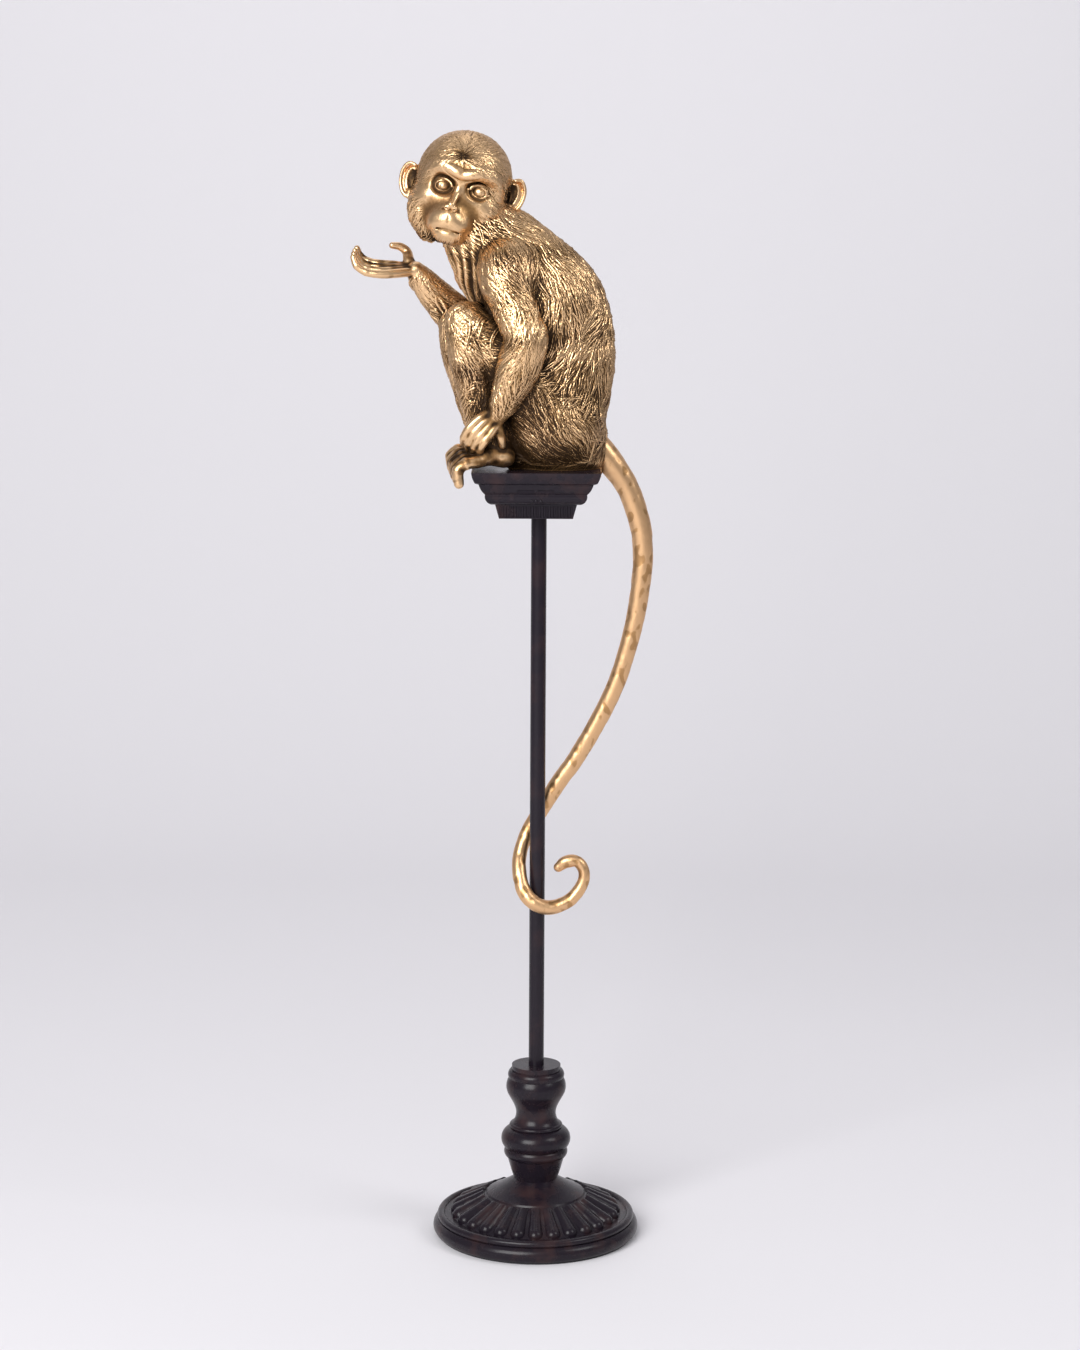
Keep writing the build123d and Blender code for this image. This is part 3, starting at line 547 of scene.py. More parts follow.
def hollows(points, quads, pairs, clay, reach, painted_recess_shade):
    """How dark a place is painted: patina below the smoothed skin, and painted shade where forms crowd within
    reach.

    The depths below the smoothed skins are added by weight and divided by twice their own spread."""
    normals = normals_of(points, quads)
    depth = np.zeros(len(points))
    smooth = points
    done = 0
    for times, weight in HOLLOW_SCALES:
        smooth = relax(smooth, pairs, times - done)
        done = times
        depth += weight * dot(smooth - points, normals)
    # Patina from the depths below the smoothed skins, painted shade from the crowding of forms
    return depth / (2 * depth.std()) + painted_recess_shade * (clay.crowding(points, reach) - 0.5)


# Shortest and longest wave of a noise, as shares of its size
WAVE_RANGE = (0.7, 1.6)


def waves(points, size, seed, octaves=10):
    """Soft noise of about the given size in millimetres: a sum of sine waves in random directions."""
    rng = np.random.default_rng(seed)
    total = np.zeros(len(points))
    for _ in range(octaves):
        direction = rng.normal(size=3)
        direction *= 2 * math.pi / (size * rng.uniform(*WAVE_RANGE) * np.linalg.norm(direction))
        total += np.sin(points @ direction + rng.uniform(0, 2 * math.pi))
    return total / math.sqrt(octaves / 2)


def scattered(points, mask, spacing, rng):
    """Indices of points that are about `spacing` apart: one for each cell of a loose grid."""
    chosen = rng.permutation(np.flatnonzero(mask))
    cells = np.floor(points[chosen] / spacing).astype(np.int64)
    most_cells = 4001
    keys = (cells[:, 0] * most_cells + cells[:, 1]) * most_cells + cells[:, 2]
    _, first = np.unique(keys, return_index=True)
    return chosen[first]


# A lock's form, as shares of its length: how far its middle lies ahead of its seed, how much it bends and
# from where, the height of its wave, its root, and how far it reaches from its middle
LOCK_AHEAD = 0.1
LOCK_BEND = 0.35
BEND_START = 0.4
LOCK_WAVE = 0.03
LOCK_ROOT = 0.2
LOCK_REACH = 0.52

# The angle that a lock's wave turns through in radians, the least half width that is reckoned with in
# millimetres, and how much a point has to face the lock's way
LOCK_WAVE_TURN = 7.0
LEAST_HALF_WIDTH = 0.05
LEAST_FACING = 0.2


def comb_locks(points, normals, flow, seeds, length, width, height, rng, strands, groove):
    """Height of overlapping fur locks.

    Each lock lies along the flow at its seed. Its outline widens fast at the root and narrows to a
    bent and waving tip; its height rises towards the tip and drops at its end; grooves part it into
    strands. Each point takes the highest lock over it. Points are looked up by cells that are as wide
    as the longest lock reaches, the cell of a lock's middle and the ones around it."""
    points = points.astype(np.float32)
    normals = normals.astype(np.float32)
    ahead = flow[seeds].astype(np.float32)
    facing = normals[seeds]
    side = np.cross(facing, ahead)
    length = length.astype(np.float32)
    middle = points[seeds] + LOCK_AHEAD * length[:, None] * ahead
    reach = length.max() * LOCK_REACH
    low = points.min(0) - reach
    shape = np.floor((points.max(0) - low) / reach).astype(np.int64) + 4

    def keys_of(cells):
        return (cells[:, 0] * shape[1] + cells[:, 1]) * shape[2] + cells[:, 2]

    keys = keys_of(np.floor((points - low) / reach).astype(np.int64) + 1)
    order = np.argsort(keys, kind="stable")
    ordered = keys[order]
    cells = np.floor((middle - low) / reach).astype(np.int64)
    bend = rng.uniform(-LOCK_BEND, LOCK_BEND, len(seeds)).astype(np.float32)
    phase = rng.uniform(0, 1, len(seeds)).astype(np.float32)
    result = np.zeros(len(points), np.float32)
    for step in np.ndindex(3, 3, 3):
        wanted = keys_of(cells + np.array(step))
        first = np.searchsorted(ordered, wanted, "left")
        sizes = np.searchsorted(ordered, wanted, "right") - first
        lock = np.repeat(np.arange(len(seeds)), sizes)
        rank = np.arange(sizes.sum()) - np.repeat(np.cumsum(sizes) - sizes, sizes)
        point = order[np.repeat(first, sizes) + rank]
        offset = points[point] - middle[lock]
        share = dot(offset, ahead[lock]) / length[lock] + 0.5
        keep = np.flatnonzero((share > 0) & (share < 1))
        lock, point, offset, share = lock[keep], point[keep], offset[keep], share[keep]
        waving = LOCK_WAVE * np.sin(LOCK_WAVE_TURN * share + 2 * math.pi * phase[lock])
        bent = bend[lock] * (share - BEND_START) ** 2 + waving
        sideways = dot(offset, side[lock]) + length[lock] * bent
        keep = np.flatnonzero(np.abs(sideways) < 0.5 * width[lock])
        lock, point, share, sideways = lock[keep], point[keep], share[keep], sideways[keep]
        outline = 0.5 * width[lock] * (1 - share**2.4) ** 0.7 * np.minimum(1, share / LOCK_ROOT) ** 0.5
        across = sideways / np.maximum(outline, LEAST_HALF_WIDTH)
        keep = np.flatnonzero((np.abs(across) < 1) & (dot(normals[point], facing[lock]) > LEAST_FACING))
        lock, point, share, across = lock[keep], point[keep], share[keep], across[keep]
        rise = (0.3 + 0.7 * share) * (1 - share**6)
        parting = 0.5 + 0.5 * np.cos(2 * math.pi * (strands * 0.5 * (across + 1) + phase[lock]))
        lift = height[lock] * rise * (1 - across**2) ** 0.6 * (1 - groove * parting)
        np.maximum.at(result, point, lift.astype(np.float32))
    return result


def tangent(vectors, normals):
    """Vectors laid flat on the skin."""
    return unit(vectors - dot(vectors, normals)[:, None] * normals)


def swirl(flow, normals, angles):
    """Turn the flow about the normals by angles in radians."""
    return flow * np.cos(angles)[:, None] + np.cross(normals, flow) * np.sin(angles)[:, None]


def mesh_piece(name, points, faces, material, attributes=None, normals=None):
    """A Blender mesh object from points in millimetres and faces, smooth, at the origin."""
    mesh = bpy.data.meshes.new(name)
    sizes = np.concatenate([np.full(len(group), group.shape[1]) for group in faces])
    loops = np.concatenate([group.ravel() for group in faces])
    mesh.vertices.add(len(points))
    mesh.vertices.foreach_set("co", (points * MM).astype(np.float32).ravel())
    mesh.loops.add(len(loops))
    mesh.loops.foreach_set("vertex_index", loops.astype(np.int32))
    mesh.polygons.add(len(sizes))
    mesh.polygons.foreach_set("loop_start", (np.cumsum(sizes) - sizes).astype(np.int32))
    mesh.polygons.foreach_set("use_smooth", np.ones(len(sizes), bool))
    mesh.update(calc_edges=True)
    mesh.validate()
    for key, values in (attributes or {}).items():
        layer = mesh.attributes.new(key, "FLOAT", "POINT")
        layer.data.foreach_set("value", values.astype(np.float32))
    if normals is not None:
        mesh.normals_split_custom_set_from_vertices(normals.astype(np.float32).tolist())
    mesh.materials.append(material)
    piece = bpy.data.objects.new(name, mesh)
    bpy.context.scene.collection.objects.link(piece)
    return piece


# How far the rim of a casting is turned in, in millimetres
CAP_DEPTH = 3.0


def capped_share(points, quads, normals, chosen):
    """Some of a skin's quads as a closed shell: each loop of its rim is turned in and closed to a point.

    An edge that no quad runs back along is on the rim. Rim points that edges join share a group."""
    quads = quads[chosen]
    used, flat = np.unique(quads, return_inverse=True)
    quads = flat.reshape(-1, 4)
    count = len(used)
    edges = neighbour_pairs(quads)
    forward = edges[:, 0].astype(np.int64) * count + edges[:, 1]
    backward = edges[:, 1].astype(np.int64) * count + edges[:, 0]
    rim = edges[~np.isin(forward, backward)]
    own = points[used]
    facing = normals[used]
    if not len(rim):
        return own, [quads], facing, used, np.arange(count)
    rim_points, flat = np.unique(rim, return_inverse=True)
    ends = flat.reshape(-1, 2)
    group = np.arange(len(rim_points))
    for _ in range(len(rim_points)):
        least = group.copy()
        np.minimum.at(least, ends[:, 0], group[ends[:, 1]])
        np.minimum.at(least, ends[:, 1], group[ends[:, 0]])
        least = least[least]
        if (least == group).all():
            break
        group = least
    _, group = np.unique(group, return_inverse=True)
    inner = own[rim_points] - CAP_DEPTH * facing[rim_points]
    middles = np.stack([np.bincount(group, inner[:, i]) for i in range(3)], 1) / np.bincount(group)[:, None]
    inner_index = count + ends
    middle_index = count + len(rim_points) + group[ends[:, 0]]
    wall = np.stack((rim[:, 1], rim[:, 0], inner_index[:, 0], inner_index[:, 1]), 1)
    closing = np.stack((inner_index[:, 1], inner_index[:, 0], middle_index), 1)
    all_points = np.vstack((own, inner, middles))
    all_normals = np.vstack((facing, facing[rim_points], np.tile((0.0, 0.0, 1.0), (len(middles), 1))))
    source = np.concatenate((np.arange(count), rim_points, np.zeros(len(middles), int)))
    return all_points, [np.vstack((quads, wall)), closing], all_normals, used, source


# Shader maths written as expressions
class Value:
    """One socket of a node tree, with arithmetic that adds Math nodes."""

    def __init__(self, tree, socket):
        self.tree = tree
        self.socket = socket

    def math(self, operation, *others):
        node = self.tree.make("ShaderNodeMath", {"operation": operation})
        for index, value in enumerate((self, *others)):
            self.tree.feed(node.inputs[index], value)
        return Value(self.tree, node.outputs[0])

    def __add__(self, other):
        return self.math("ADD", other)

    __radd__ = __add__

    def __sub__(self, other):
        return self.math("SUBTRACT", other)

    def __rsub__(self, other):
        return (self * -1.0).math("ADD", other)

    def __mul__(self, other):
        return self.math("MULTIPLY", other)

    def smooth(self, low, high):
        """A smooth step from 0 at `low` to 1 at `high`."""
        node = self.tree.make("ShaderNodeMapRange", {"interpolation_type": "SMOOTHSTEP"})
        self.tree.feed(node.inputs["Value"], self)
        node.inputs["From Min"].default_value = low
        node.inputs["From Max"].default_value = high
        return Value(self.tree, node.outputs["Result"])


class Finish:
    """A material and the node tree that makes it."""

    def __init__(self, name):
        # The frame's own plain material of this name gives the name up
        if name in bpy.data.materials:
            bpy.data.materials[name].name = "plain_" + name
        self.material = bpy.data.materials.new(name)
        self.material.use_nodes = True
        self.nodes = self.material.node_tree.nodes
        self.links = self.material.node_tree.links
        self.nodes.clear()
        output = self.make("ShaderNodeOutputMaterial", {})
        self.shader = self.make("ShaderNodeBsdfPrincipled", {})
        self.links.new(self.shader.outputs[0], output.inputs["Surface"])
        self.place = self.make("ShaderNodeTexCoord", {}).outputs["Object"]

    def make(self, kind, settings, **sockets):
        """A node of a kind, its settings first, then the values or links of its sockets."""
        node = self.nodes.new(kind)
        for key, value in settings.items():
            setattr(node, key, value)
        for key, value in sockets.items():
            self.feed(node.inputs[key.replace("_", " ")], value)
        return node

    def feed(self, socket, value):
        """Give a socket a number, a colour or a link."""
        if isinstance(value, Value):
            self.links.new(value.socket, socket)
        elif isinstance(value, bpy.types.NodeSocket):
            self.links.new(value, socket)
        else:
            socket.default_value = value

    def noise(self, size, detail, roughness=0.55):
        """Noise with features of about `size` metres, from 0 to 1."""
        node = self.make(
            "ShaderNodeTexNoise", {}, Vector=self.place, Scale=1.0 / size, Detail=detail, Roughness=roughness
        )
        return Value(self, node.outputs[0])

    def attribute(self, name):
        """A number stored on the mesh."""
        node = self.make("ShaderNodeAttribute", {"attribute_name": name})
        return Value(self, node.outputs["Fac"])

    def blend(self, share, first, second):
        """A colour between two colours."""
        node = self.make("ShaderNodeMix", {"data_type": "RGBA"})
        self.feed(node.inputs[0], share)
        for socket, colour in ((node.inputs[6], first), (node.inputs[7], second)):
            self.feed(socket, (*colour, 1.0) if isinstance(colour, tuple) else colour)
        return node.outputs[2]

    def bump(self, height, strength, distance):
        """A bump normal from a height between 0 and 1."""
        node = self.make("ShaderNodeBump", {}, Strength=strength, Distance=distance, Height=height)
        return node.outputs["Normal"]

    def set(self, **sockets):
        """Values or links of the shader's own sockets."""
        for key, value in sockets.items():
            self.feed(self.shader.inputs[key.replace("_", " ")], value)


def antique_gold():
    """Antique gold rubbed back over dark brown, which stays in the hollows and is also painted as shade
    between limbs, under the chin, in the eye sockets, on the raised palm and near the seat; redder in
    patches.
    """
    sizes = bpy.context.scene.figurine_finish
    finish = Finish("antique_gold")
    hollow = finish.attribute("hollow")
    mottle = finish.noise(size=0.006, detail=4.0, roughness=0.6)
    patch = finish.noise(size=0.035, detail=3.0)
    speck = finish.noise(size=0.0012, detail=2.0)
    depth = hollow + (mottle - 0.5) * 0.35 + (speck - 0.5) * 0.12
    # Dark brown of the patina, also painted as shade wherever the hollow measure carries it
    dark = depth.smooth(sizes.patina_and_shade_start, sizes.patina_and_shade_full)
    worn = (depth * -1.0).smooth(0.05, 0.5)
    gold = finish.blend(patch.smooth(0.42, 0.68), tuple(sizes.gold_colour), tuple(sizes.copper_colour))
    bright = finish.blend(worn * 0.85, gold, tuple(sizes.highlight_colour))
    colour = finish.blend(dark, bright, tuple(sizes.patina_and_shade_colour))
    finish.set(
        Base_Color=colour,
        Metallic=1.0 - dark * 0.6,
        Roughness=0.33 + dark * 0.24 + (mottle - 0.5) * 0.14,
        Specular_IOR_Level=0.2,
        Normal=finish.bump(speck * 0.4 + mottle * 0.6, strength=0.25, distance=0.0006),
    )
    return finish.material


def bright_gold():
    """Paler gold of the tail, with faint dents and a little shade in its hollows."""
    sizes = bpy.context.scene.figurine_finish
    finish = Finish("bright_gold")
    dent = finish.make("ShaderNodeTexVoronoi", {"feature": "SMOOTH_F1"}, Vector=finish.place, Scale=330.0)
    dent = Value(finish, dent.outputs["Distance"])
    mottle = finish.noise(size=0.005, detail=3.0)
    hollow = finish.attribute("hollow")
    dark = (hollow + (mottle - 0.5) * 0.5).smooth(0.15, 0.7)
    colour = finish.blend(dark * 0.75, tuple(sizes.tail_colour), tuple(sizes.tail_shade_colour))
    finish.set(
        Base_Color=colour,
        Metallic=1.0,
        Roughness=0.31 + mottle * 0.14,
        Normal=finish.bump(dent * 0.7 + mottle * 0.3, strength=0.18, distance=0.0006),
    )
    return finish.material


def stand_black(name, glow, roughness):
    """Satin black over dark bronze, with faint brown where it is rubbed."""
    sizes = bpy.context.scene.figurine_finish
    finish = Finish(name)
    rub = finish.noise(size=0.020, detail=4.0)
    fine = finish.noise(size=0.0015, detail=3.0)
    rubbed = rub.smooth(0.45, 0.75) * glow
    finish.set(
        Base_Color=finish.blend(rubbed, tuple(sizes.stand_colour), tuple(sizes.stand_rub_colour)),
        Metallic=0.0,
        Roughness=roughness + (rub - 0.5) * 0.12,
        Specular_IOR_Level=0.24,
        Normal=finish.bump(fine, strength=0.12, distance=0.0003),
    )
    return finish.material


def plain_metal(name, colour, roughness):
    """Machined metal with a fine brushed noise."""
    finish = Finish(name)
    grain = finish.noise(size=0.0008, detail=2.0)
    shade = finish.blend(grain * 0.3, colour, tuple(0.7 * value for value in colour))
    finish.set(Base_Color=shade, Metallic=1.0, Roughness=roughness + grain * 0.1)
    return finish.material


def felt():
    """Black wool felt."""
    finish = Finish("felt")
    fuzz = finish.noise(size=0.0009, detail=4.0)
    shade = finish.blend(fuzz, (0.020, 0.020, 0.023), (0.060, 0.058, 0.064))
    finish.set(Base_Color=shade, Roughness=0.95, Normal=finish.bump(fuzz, strength=0.6, distance=0.0006))
    return finish.material


def body_forms():
    """The forms of each casting of the body, in groups: spans of its limbs, digits and swellings."""
    groups = {name: {"spans": [], "digits": [], "swellings": []} for name in LIMBS}
    for name, parts in LIMBS.items():
        groups[name]["spans"] = [span for rows in parts for span in limb_spans(rows)]
    for name, rows, step, line, lengths in FANS:
        for index, length in enumerate(lengths):
            shift = (index - (len(lengths) - 1) / 2) * step * np.array(line)
            groups[name]["digits"].append(finger(rows, shift, length))
    for name, rows in THUMBS:
        groups[name]["digits"].append(rods(*digit_curve(rows)[1:]))
    for name, centre, halves in SWELLINGS:
        groups[name]["swellings"].append(Egg(place(*centre), np.array(halves) * FIGURE_HEIGHT))
    return groups


# The body's block of distances, the creases of its joins and its gaps to the capital, in millimetres
BODY_LOW = (-149, -65, SEAT - 15)
BODY_HIGH = (68, 58, SEAT + 208)
LIMB_CREASE = 4.0
SWELLING_CREASE = 9.0
DIGIT_CREASE = 1.2
CAPITAL_GAP = 0.2
SEAT_GAP = 0.02
CUT_BEYOND = 20

# The flank, as shares of the height, how far its fur leans forward there, and how soon a limb's way fades
FLANK_HEIGHT = 0.40
FLANK_SPREAD = 0.13
FLANK_LEAN = (-0.9, 0.0, 0.0)
FLOW_FADE = 2.5


def nearest_form(points, forms, reach=12.0):
    """The distance from each point to the nearest of the forms, and which form that is."""
    best = np.full(len(points), FAR)
    which = np.zeros(len(points), int)
    for index, form in enumerate(forms):
        near = np.flatnonzero(inside_box(points, form.low - reach, form.high + reach))
        gap = form.distance(*points[near].T)
        closer = gap < best[near]
        best[near[closer]] = gap[closer]
        which[near[closer]] = index
    return best, which


def body_clay(groups, step):
    """The body's block of distances: limbs, swellings and digits, stood on the capital."""
    clay = Clay(BODY_LOW, BODY_HIGH, step)
    for group in groups.values():
        clay.add_group(group["spans"], LIMB_CREASE)
    for group in groups.values():
        for egg in group["swellings"]:
            clay.add(egg, SWELLING_CREASE)
    for group in groups.values():
        for digit in group["digits"]:
            clay.add_group(digit, DIGIT_CREASE)
    edge = CAPITAL_HIGH + (CAPITAL_GAP, 0, SEAT_GAP)
    clay.cut(Block(CAPITAL_LOW - (CAPITAL_GAP, CUT_BEYOND, 0), edge + (0, CUT_BEYOND, 0)))
    return clay


def body_flow(points, normals, headings, table):
    """The way the fur runs: down each limb, forward across the flanks, and smooth between limbs.

    A limb's heading counts by how near it is, next to the nearest one."""
    flow = np.zeros_like(points)
    nearest = table.min(1)
    for column, (name, heading) in enumerate(headings.items()):
        if name == "torso":
            up = (points[:, 2] - SEAT) / FIGURE_HEIGHT
            flank = np.exp(-(((up - FLANK_HEIGHT) / FLANK_SPREAD) ** 2))
            heading = -heading + flank[:, None] * np.array(FLANK_LEAN)
        flow += np.exp(-(table[:, column] - nearest) / FLOW_FADE)[:, None] * heading
    return tangent(flow + TINY, normals)


# Two coats of fur: length, width and height as shares of a lock's, strands in a lock, depth of its grooves
COATS = ((1.0, 1.0, 1.0, 3.0, 0.52), (0.5, 0.45, 0.60, 1.0, 0.30))
LOCK_SPACING = 0.85
LENGTH_RANGE = (0.7, 1.25)
WIDTH_RANGE = (0.75, 1.3)
LIFT_RANGE = (0.5, 1.25)
LOCK_STRAY = 0.15
LEAST_FUR = 0.05


def comb_skin(points, normals, flow, owner, sizes, mask, seed):
    """Two coats of locks, long ones and then finer ones, each as high as the mask allows."""
    rng = np.random.default_rng(seed)
    height = np.zeros(len(points))
    for scale, slimness, strength, strands, groove in COATS:
        seeds, lengths, widths, heights = [], [], [], []
        for index, (length, width, lift) in enumerate(sizes):
            furry = (owner == index) & (mask > LEAST_FUR)
            found = scattered(points, furry, LOCK_SPACING * slimness * width, rng)
            seeds.append(found)
            lengths.append(scale * length * rng.uniform(*LENGTH_RANGE, len(found)))
            widths.append(slimness * width * rng.uniform(*WIDTH_RANGE, len(found)))
            heights.append(strength * lift * rng.uniform(*LIFT_RANGE, len(found)))
        seeds = np.concatenate(seeds)
        turns = np.zeros(len(points))
        turns[seeds] = rng.normal(0, LOCK_STRAY, len(seeds))
        height += comb_locks(
            points, normals, swirl(flow, normals, turns), seeds, np.concatenate(lengths),
            np.concatenate(widths), np.concatenate(heights), rng, strands, groove,
        )
    return height * mask


def add_castings(points, quads, hollow, owner, nodes):
    """Split a skin by owner into closed castings, each cut by height into parts of at most about PIECE_QUADS
    quads, and dress their nodes.

    The nodes are listed by casting, in the order of the owners' numbers."""
    facing = normals_of(points, quads)
    face_owner = owner[quads[:, 0]]
    heights = points[quads[:, 0], 2]
    for column, (name, node) in enumerate(nodes.items()):
        chosen = face_owner == column
        parts = int(np.ceil(chosen.sum() / PIECE_QUADS))
        edges = np.quantile(heights[chosen], np.linspace(0, 1, parts + 1))
        edges[-1] += 1
        for part in range(parts):
            own_part = chosen & (heights >= edges[part]) & (heights < edges[part + 1])
            own, faces, own_normals, used, source = capped_share(points, quads, facing, own_part)
            label = f"{name}_casting" if parts == 1 else f"{name}_casting_{part + 1}"
            stored = {"hollow": hollow[used][source]}
            piece = mesh_piece(label, own, faces, material_named("antique_gold"), stored, own_normals)
            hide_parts(node)
            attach(piece, "root")


# Half side of the cube in which forms crowd on the body, in millimetres, which sets the painted shade between
# limbs
BODY_CROWDING = 11.0

# Where the fur ends, in millimetres from bare skin and from the seat, and how far the skin below it is sunk
BARE_MARGIN = 0.4
BARE_FADE = 4.0
SEAT_FADE = 6.0
SEAT_FUR = 0.25
FUR_SINK = 1.0

# The bare throat and its folds: place as shares of the height, reach, facing, then sizes in millimetres
THROAT = (-0.185, -0.050, 0.56)
THROAT_REACH = (22.0, 20.0, 30.0)
THROAT_FACING = (-0.6, -0.8)
THROAT_BARE = 0.8
FOLD_DEPTH = 1.6
FOLD_SPACING = 8.5
FOLD_WAVE = 1.5


def body_measures(points, groups):
    """From each point: the distance to each casting, the way each casting runs, the distance to a digit."""
    measures, headings = [], {}
    bare = np.full(len(points), FAR)
    for name, group in groups.items():
        nearest, which = nearest_form(points, group["spans"])
        headings[name] = np.array([span.axes[2] for span in group["spans"]])[which]
        for egg in group["swellings"]:
            nearest = np.minimum(nearest, egg.distance(*points.T))
        if group["digits"]:
            digit, _ = nearest_form(points, [rod for part in group["digits"] for rod in part])
            bare = np.minimum(bare, digit)
            nearest = np.minimum(nearest, digit)
        measures.append(nearest)
    return np.stack(measures, 1), headings, bare


def body_patina_and_painted_shade(points, normals, bare, hollow):
    """The body's dark finish: patina in its hollows and darker fingers and toes, with painted shade on the
    raised palm and near the seat.
    """
    on_digit = np.clip((2.0 - bare) / 2.0, 0, 1)
    hollow = hollow + on_digit * (0.30 + 0.22 * waves(points, size=7.0, seed=17, octaves=14))
    # Painted shade on the raised palm, where it faces up
    raised_hand = points[:, 0] < place(-0.36, 0, 0)[0]
    palm = on_digit * raised_hand * np.clip((points[:, 1] - 8.0) / 4.0, 0, 1)
    hollow += 0.7 * palm * np.clip(normals[:, 2] + 0.2, 0, 1)
    # Painted shade, darker towards the seat and less on the digits, then broad patches of darker patina
    seat_shade = np.exp((SEAT - points[:, 2]) / 34.0)
    return hollow + (0.8 * seat_shade * (1 - 0.75 * on_digit) + 0.16 * waves(points, size=30.0, seed=18))


class FIGURINE_OT_body(bpy.types.Operator):
    """Sculpt the torso, arms and legs with their fur, hands and feet"""

    bl_idname = "figurine.body"
    bl_label = "Body"

    def execute(self, context):
        sizes = context.scene.figurine_sculpt
        groups = body_forms()
        clay = body_clay(groups, fineness(sizes.body_step))
        points, quads = clay.skin()
        pairs = neighbour_pairs(quads)
        points = relax(points, pairs, times=2)
        normals = normals_of(relax(points, pairs, times=6), quads)
        table, headings, bare = body_measures(points, groups)
        owner = table.argmin(1)
        flow = body_flow(points, normals, headings, table)
        for _ in range(8):
            flow = tangent(spread(flow, pairs, len(points)) + TINY, normals)
        flow = swirl(flow, normals, sizes.fur_swirl * waves(points, size=38.0, seed=3))
        mask = np.clip((bare - BARE_MARGIN) / BARE_FADE, 0, 1)
        mask = mask * np.clip((points[:, 2] - SEAT) / SEAT_FADE, SEAT_FUR, 1)
        ahead, aside = THROAT_FACING
        throat = ((points - place(*THROAT)) / THROAT_REACH) ** 2
        throat = np.exp(-throat.sum(1)) * np.clip(normals[:, 0] * ahead + normals[:, 1] * aside, 0, 1)
        mask = mask * (1 - THROAT_BARE * throat)
        height = comb_skin(points, normals, flow, owner, [LOCKS[name] for name in groups], mask, seed=11)
        folds = points[:, 0] * ahead - points[:, 1] * aside + FOLD_WAVE * waves(points, size=40.0, seed=8)
        height += FOLD_DEPTH * throat * np.sin(folds * 2 * math.pi / FOLD_SPACING)
        points = points + normals * (height - FUR_SINK * mask)[:, None]
        on_seat = (points[:, 0] < CAPITAL_HIGH[0]) & (points[:, 0] > CAPITAL_LOW[0])
        points[on_seat, 2] = np.maximum(points[on_seat, 2], SEAT + SEAT_GAP)
        # Patina from the hollows, with painted shade where forms crowd, on the raised palm and near the seat
        hollow = hollows(points, quads, pairs, clay, BODY_CROWDING, sizes.painted_recess_shade)
        hollow = body_patina_and_painted_shade(points, normals, bare, hollow)
        add_castings(points, quads, hollow, owner, {name: name for name in groups})
        return {"FINISHED"}


# The head's centre as shares of the figure's height, and how far it turns and leans, in degrees
HEAD_CENTRE = (-0.2265, -0.020, 0.8260)
HEAD_YAW = 4.0
HEAD_ROLL = 13.0

# The head's features in its own axes, right, up and forward as the face is seen, in millimetres
HEAD_LOW = (-52, -56, -48)
HEAD_HIGH = (52, 48, 44)
EYES = ((-12.4, 0.4), (15.8, 1.6))
WHORL = np.array((-2.0, 25.0, 21.0))
EAR_HEIGHTS = {-1: -3.0, 1: 3.0}
BACK_OF_HEAD = -15
FACE_FRONT = 4

# Masses of the head in the order they are joined: centre, half sizes and crease
SKULL = [
    ((0, 8, -9), (35.5, 35.3, 35.0), 0.0),
    ((0, -9, 0), (34.0, 28.0, 22.0), 8.0),
    ((-23.0, -19, 1), (12.0, 17, 14), 8.0),
    ((-19.5, -9.5, 12.5), (9.5, 7.5, 7.5), 6.0),
    ((23.0, -19, 1), (12.0, 17, 14), 8.0),
    ((19.5, -9.5, 12.5), (9.5, 7.5, 7.5), 6.0),
    ((1, -29, -1), (21, 13, 19), 8.0),
    ((-16.5, -32, 1), (9.5, 10.5, 10.0), 5.0),
    ((15.5, -30, -1), (9.5, 10.0, 10.0), 5.0),
    ((0, 19, 4), (24, 13, 21.5), 10.0),
]

# Bent rods of the face: places and radii, those from the middle line outwards for both sides
BROW = [(0, 11.4, 25.6, 4.3), (6, 12.8, 26.0, 4.4), (13, 14.8, 24.0, 4.5), (20.5, 13.8, 20.0, 4.0),
        (26.0, 7.5, 13.8, 2.8), (27.6, -1.0, 11.0, 1.8)]
NOSE = [(1.8, 9, 22.5, 3.4), (1.0, 1.5, 23.6, 2.3), (-0.6, -6, 27.0, 2.4), (-1.8, -11.6, 31.4, 2.7)]
LIP = [(0, -34.0, 27.6, 2.1), (5, -33.8, 26.2, 2.0), (10.0, -32.8, 22.2, 1.6)]
MOUTH = [(0, -30.6, 31.4, 0.8), (7, -31.2, 28.4, 0.8), (13.5, -29.2, 20.4, 0.6)]
LIP_GROOVE = [(-1.8, -18.0, 33.9, 0.3), (-1.5, -27.0, 33.6, 0.4)]
BROW_SHIFT = (1.6, 0, 0, 0)
MOUTH_SHIFT = (-1.0, 0, 0, 0)
NOSE_MIDDLE = -1.8


def head_axes():
    """Columns: the head's right, up and forward directions."""
    yaw = turned((0, 0, -HEAD_YAW))
    right, forward = yaw @ (1, 0, 0), yaw @ (0, -1, 0)
    up = np.array((0.0, 0.0, 1.0))
    roll = math.radians(HEAD_ROLL)
    leaned = math.cos(roll) * up + math.sin(roll) * right
    return np.stack((math.cos(roll) * right - math.sin(roll) * up, leaned, forward), 1)


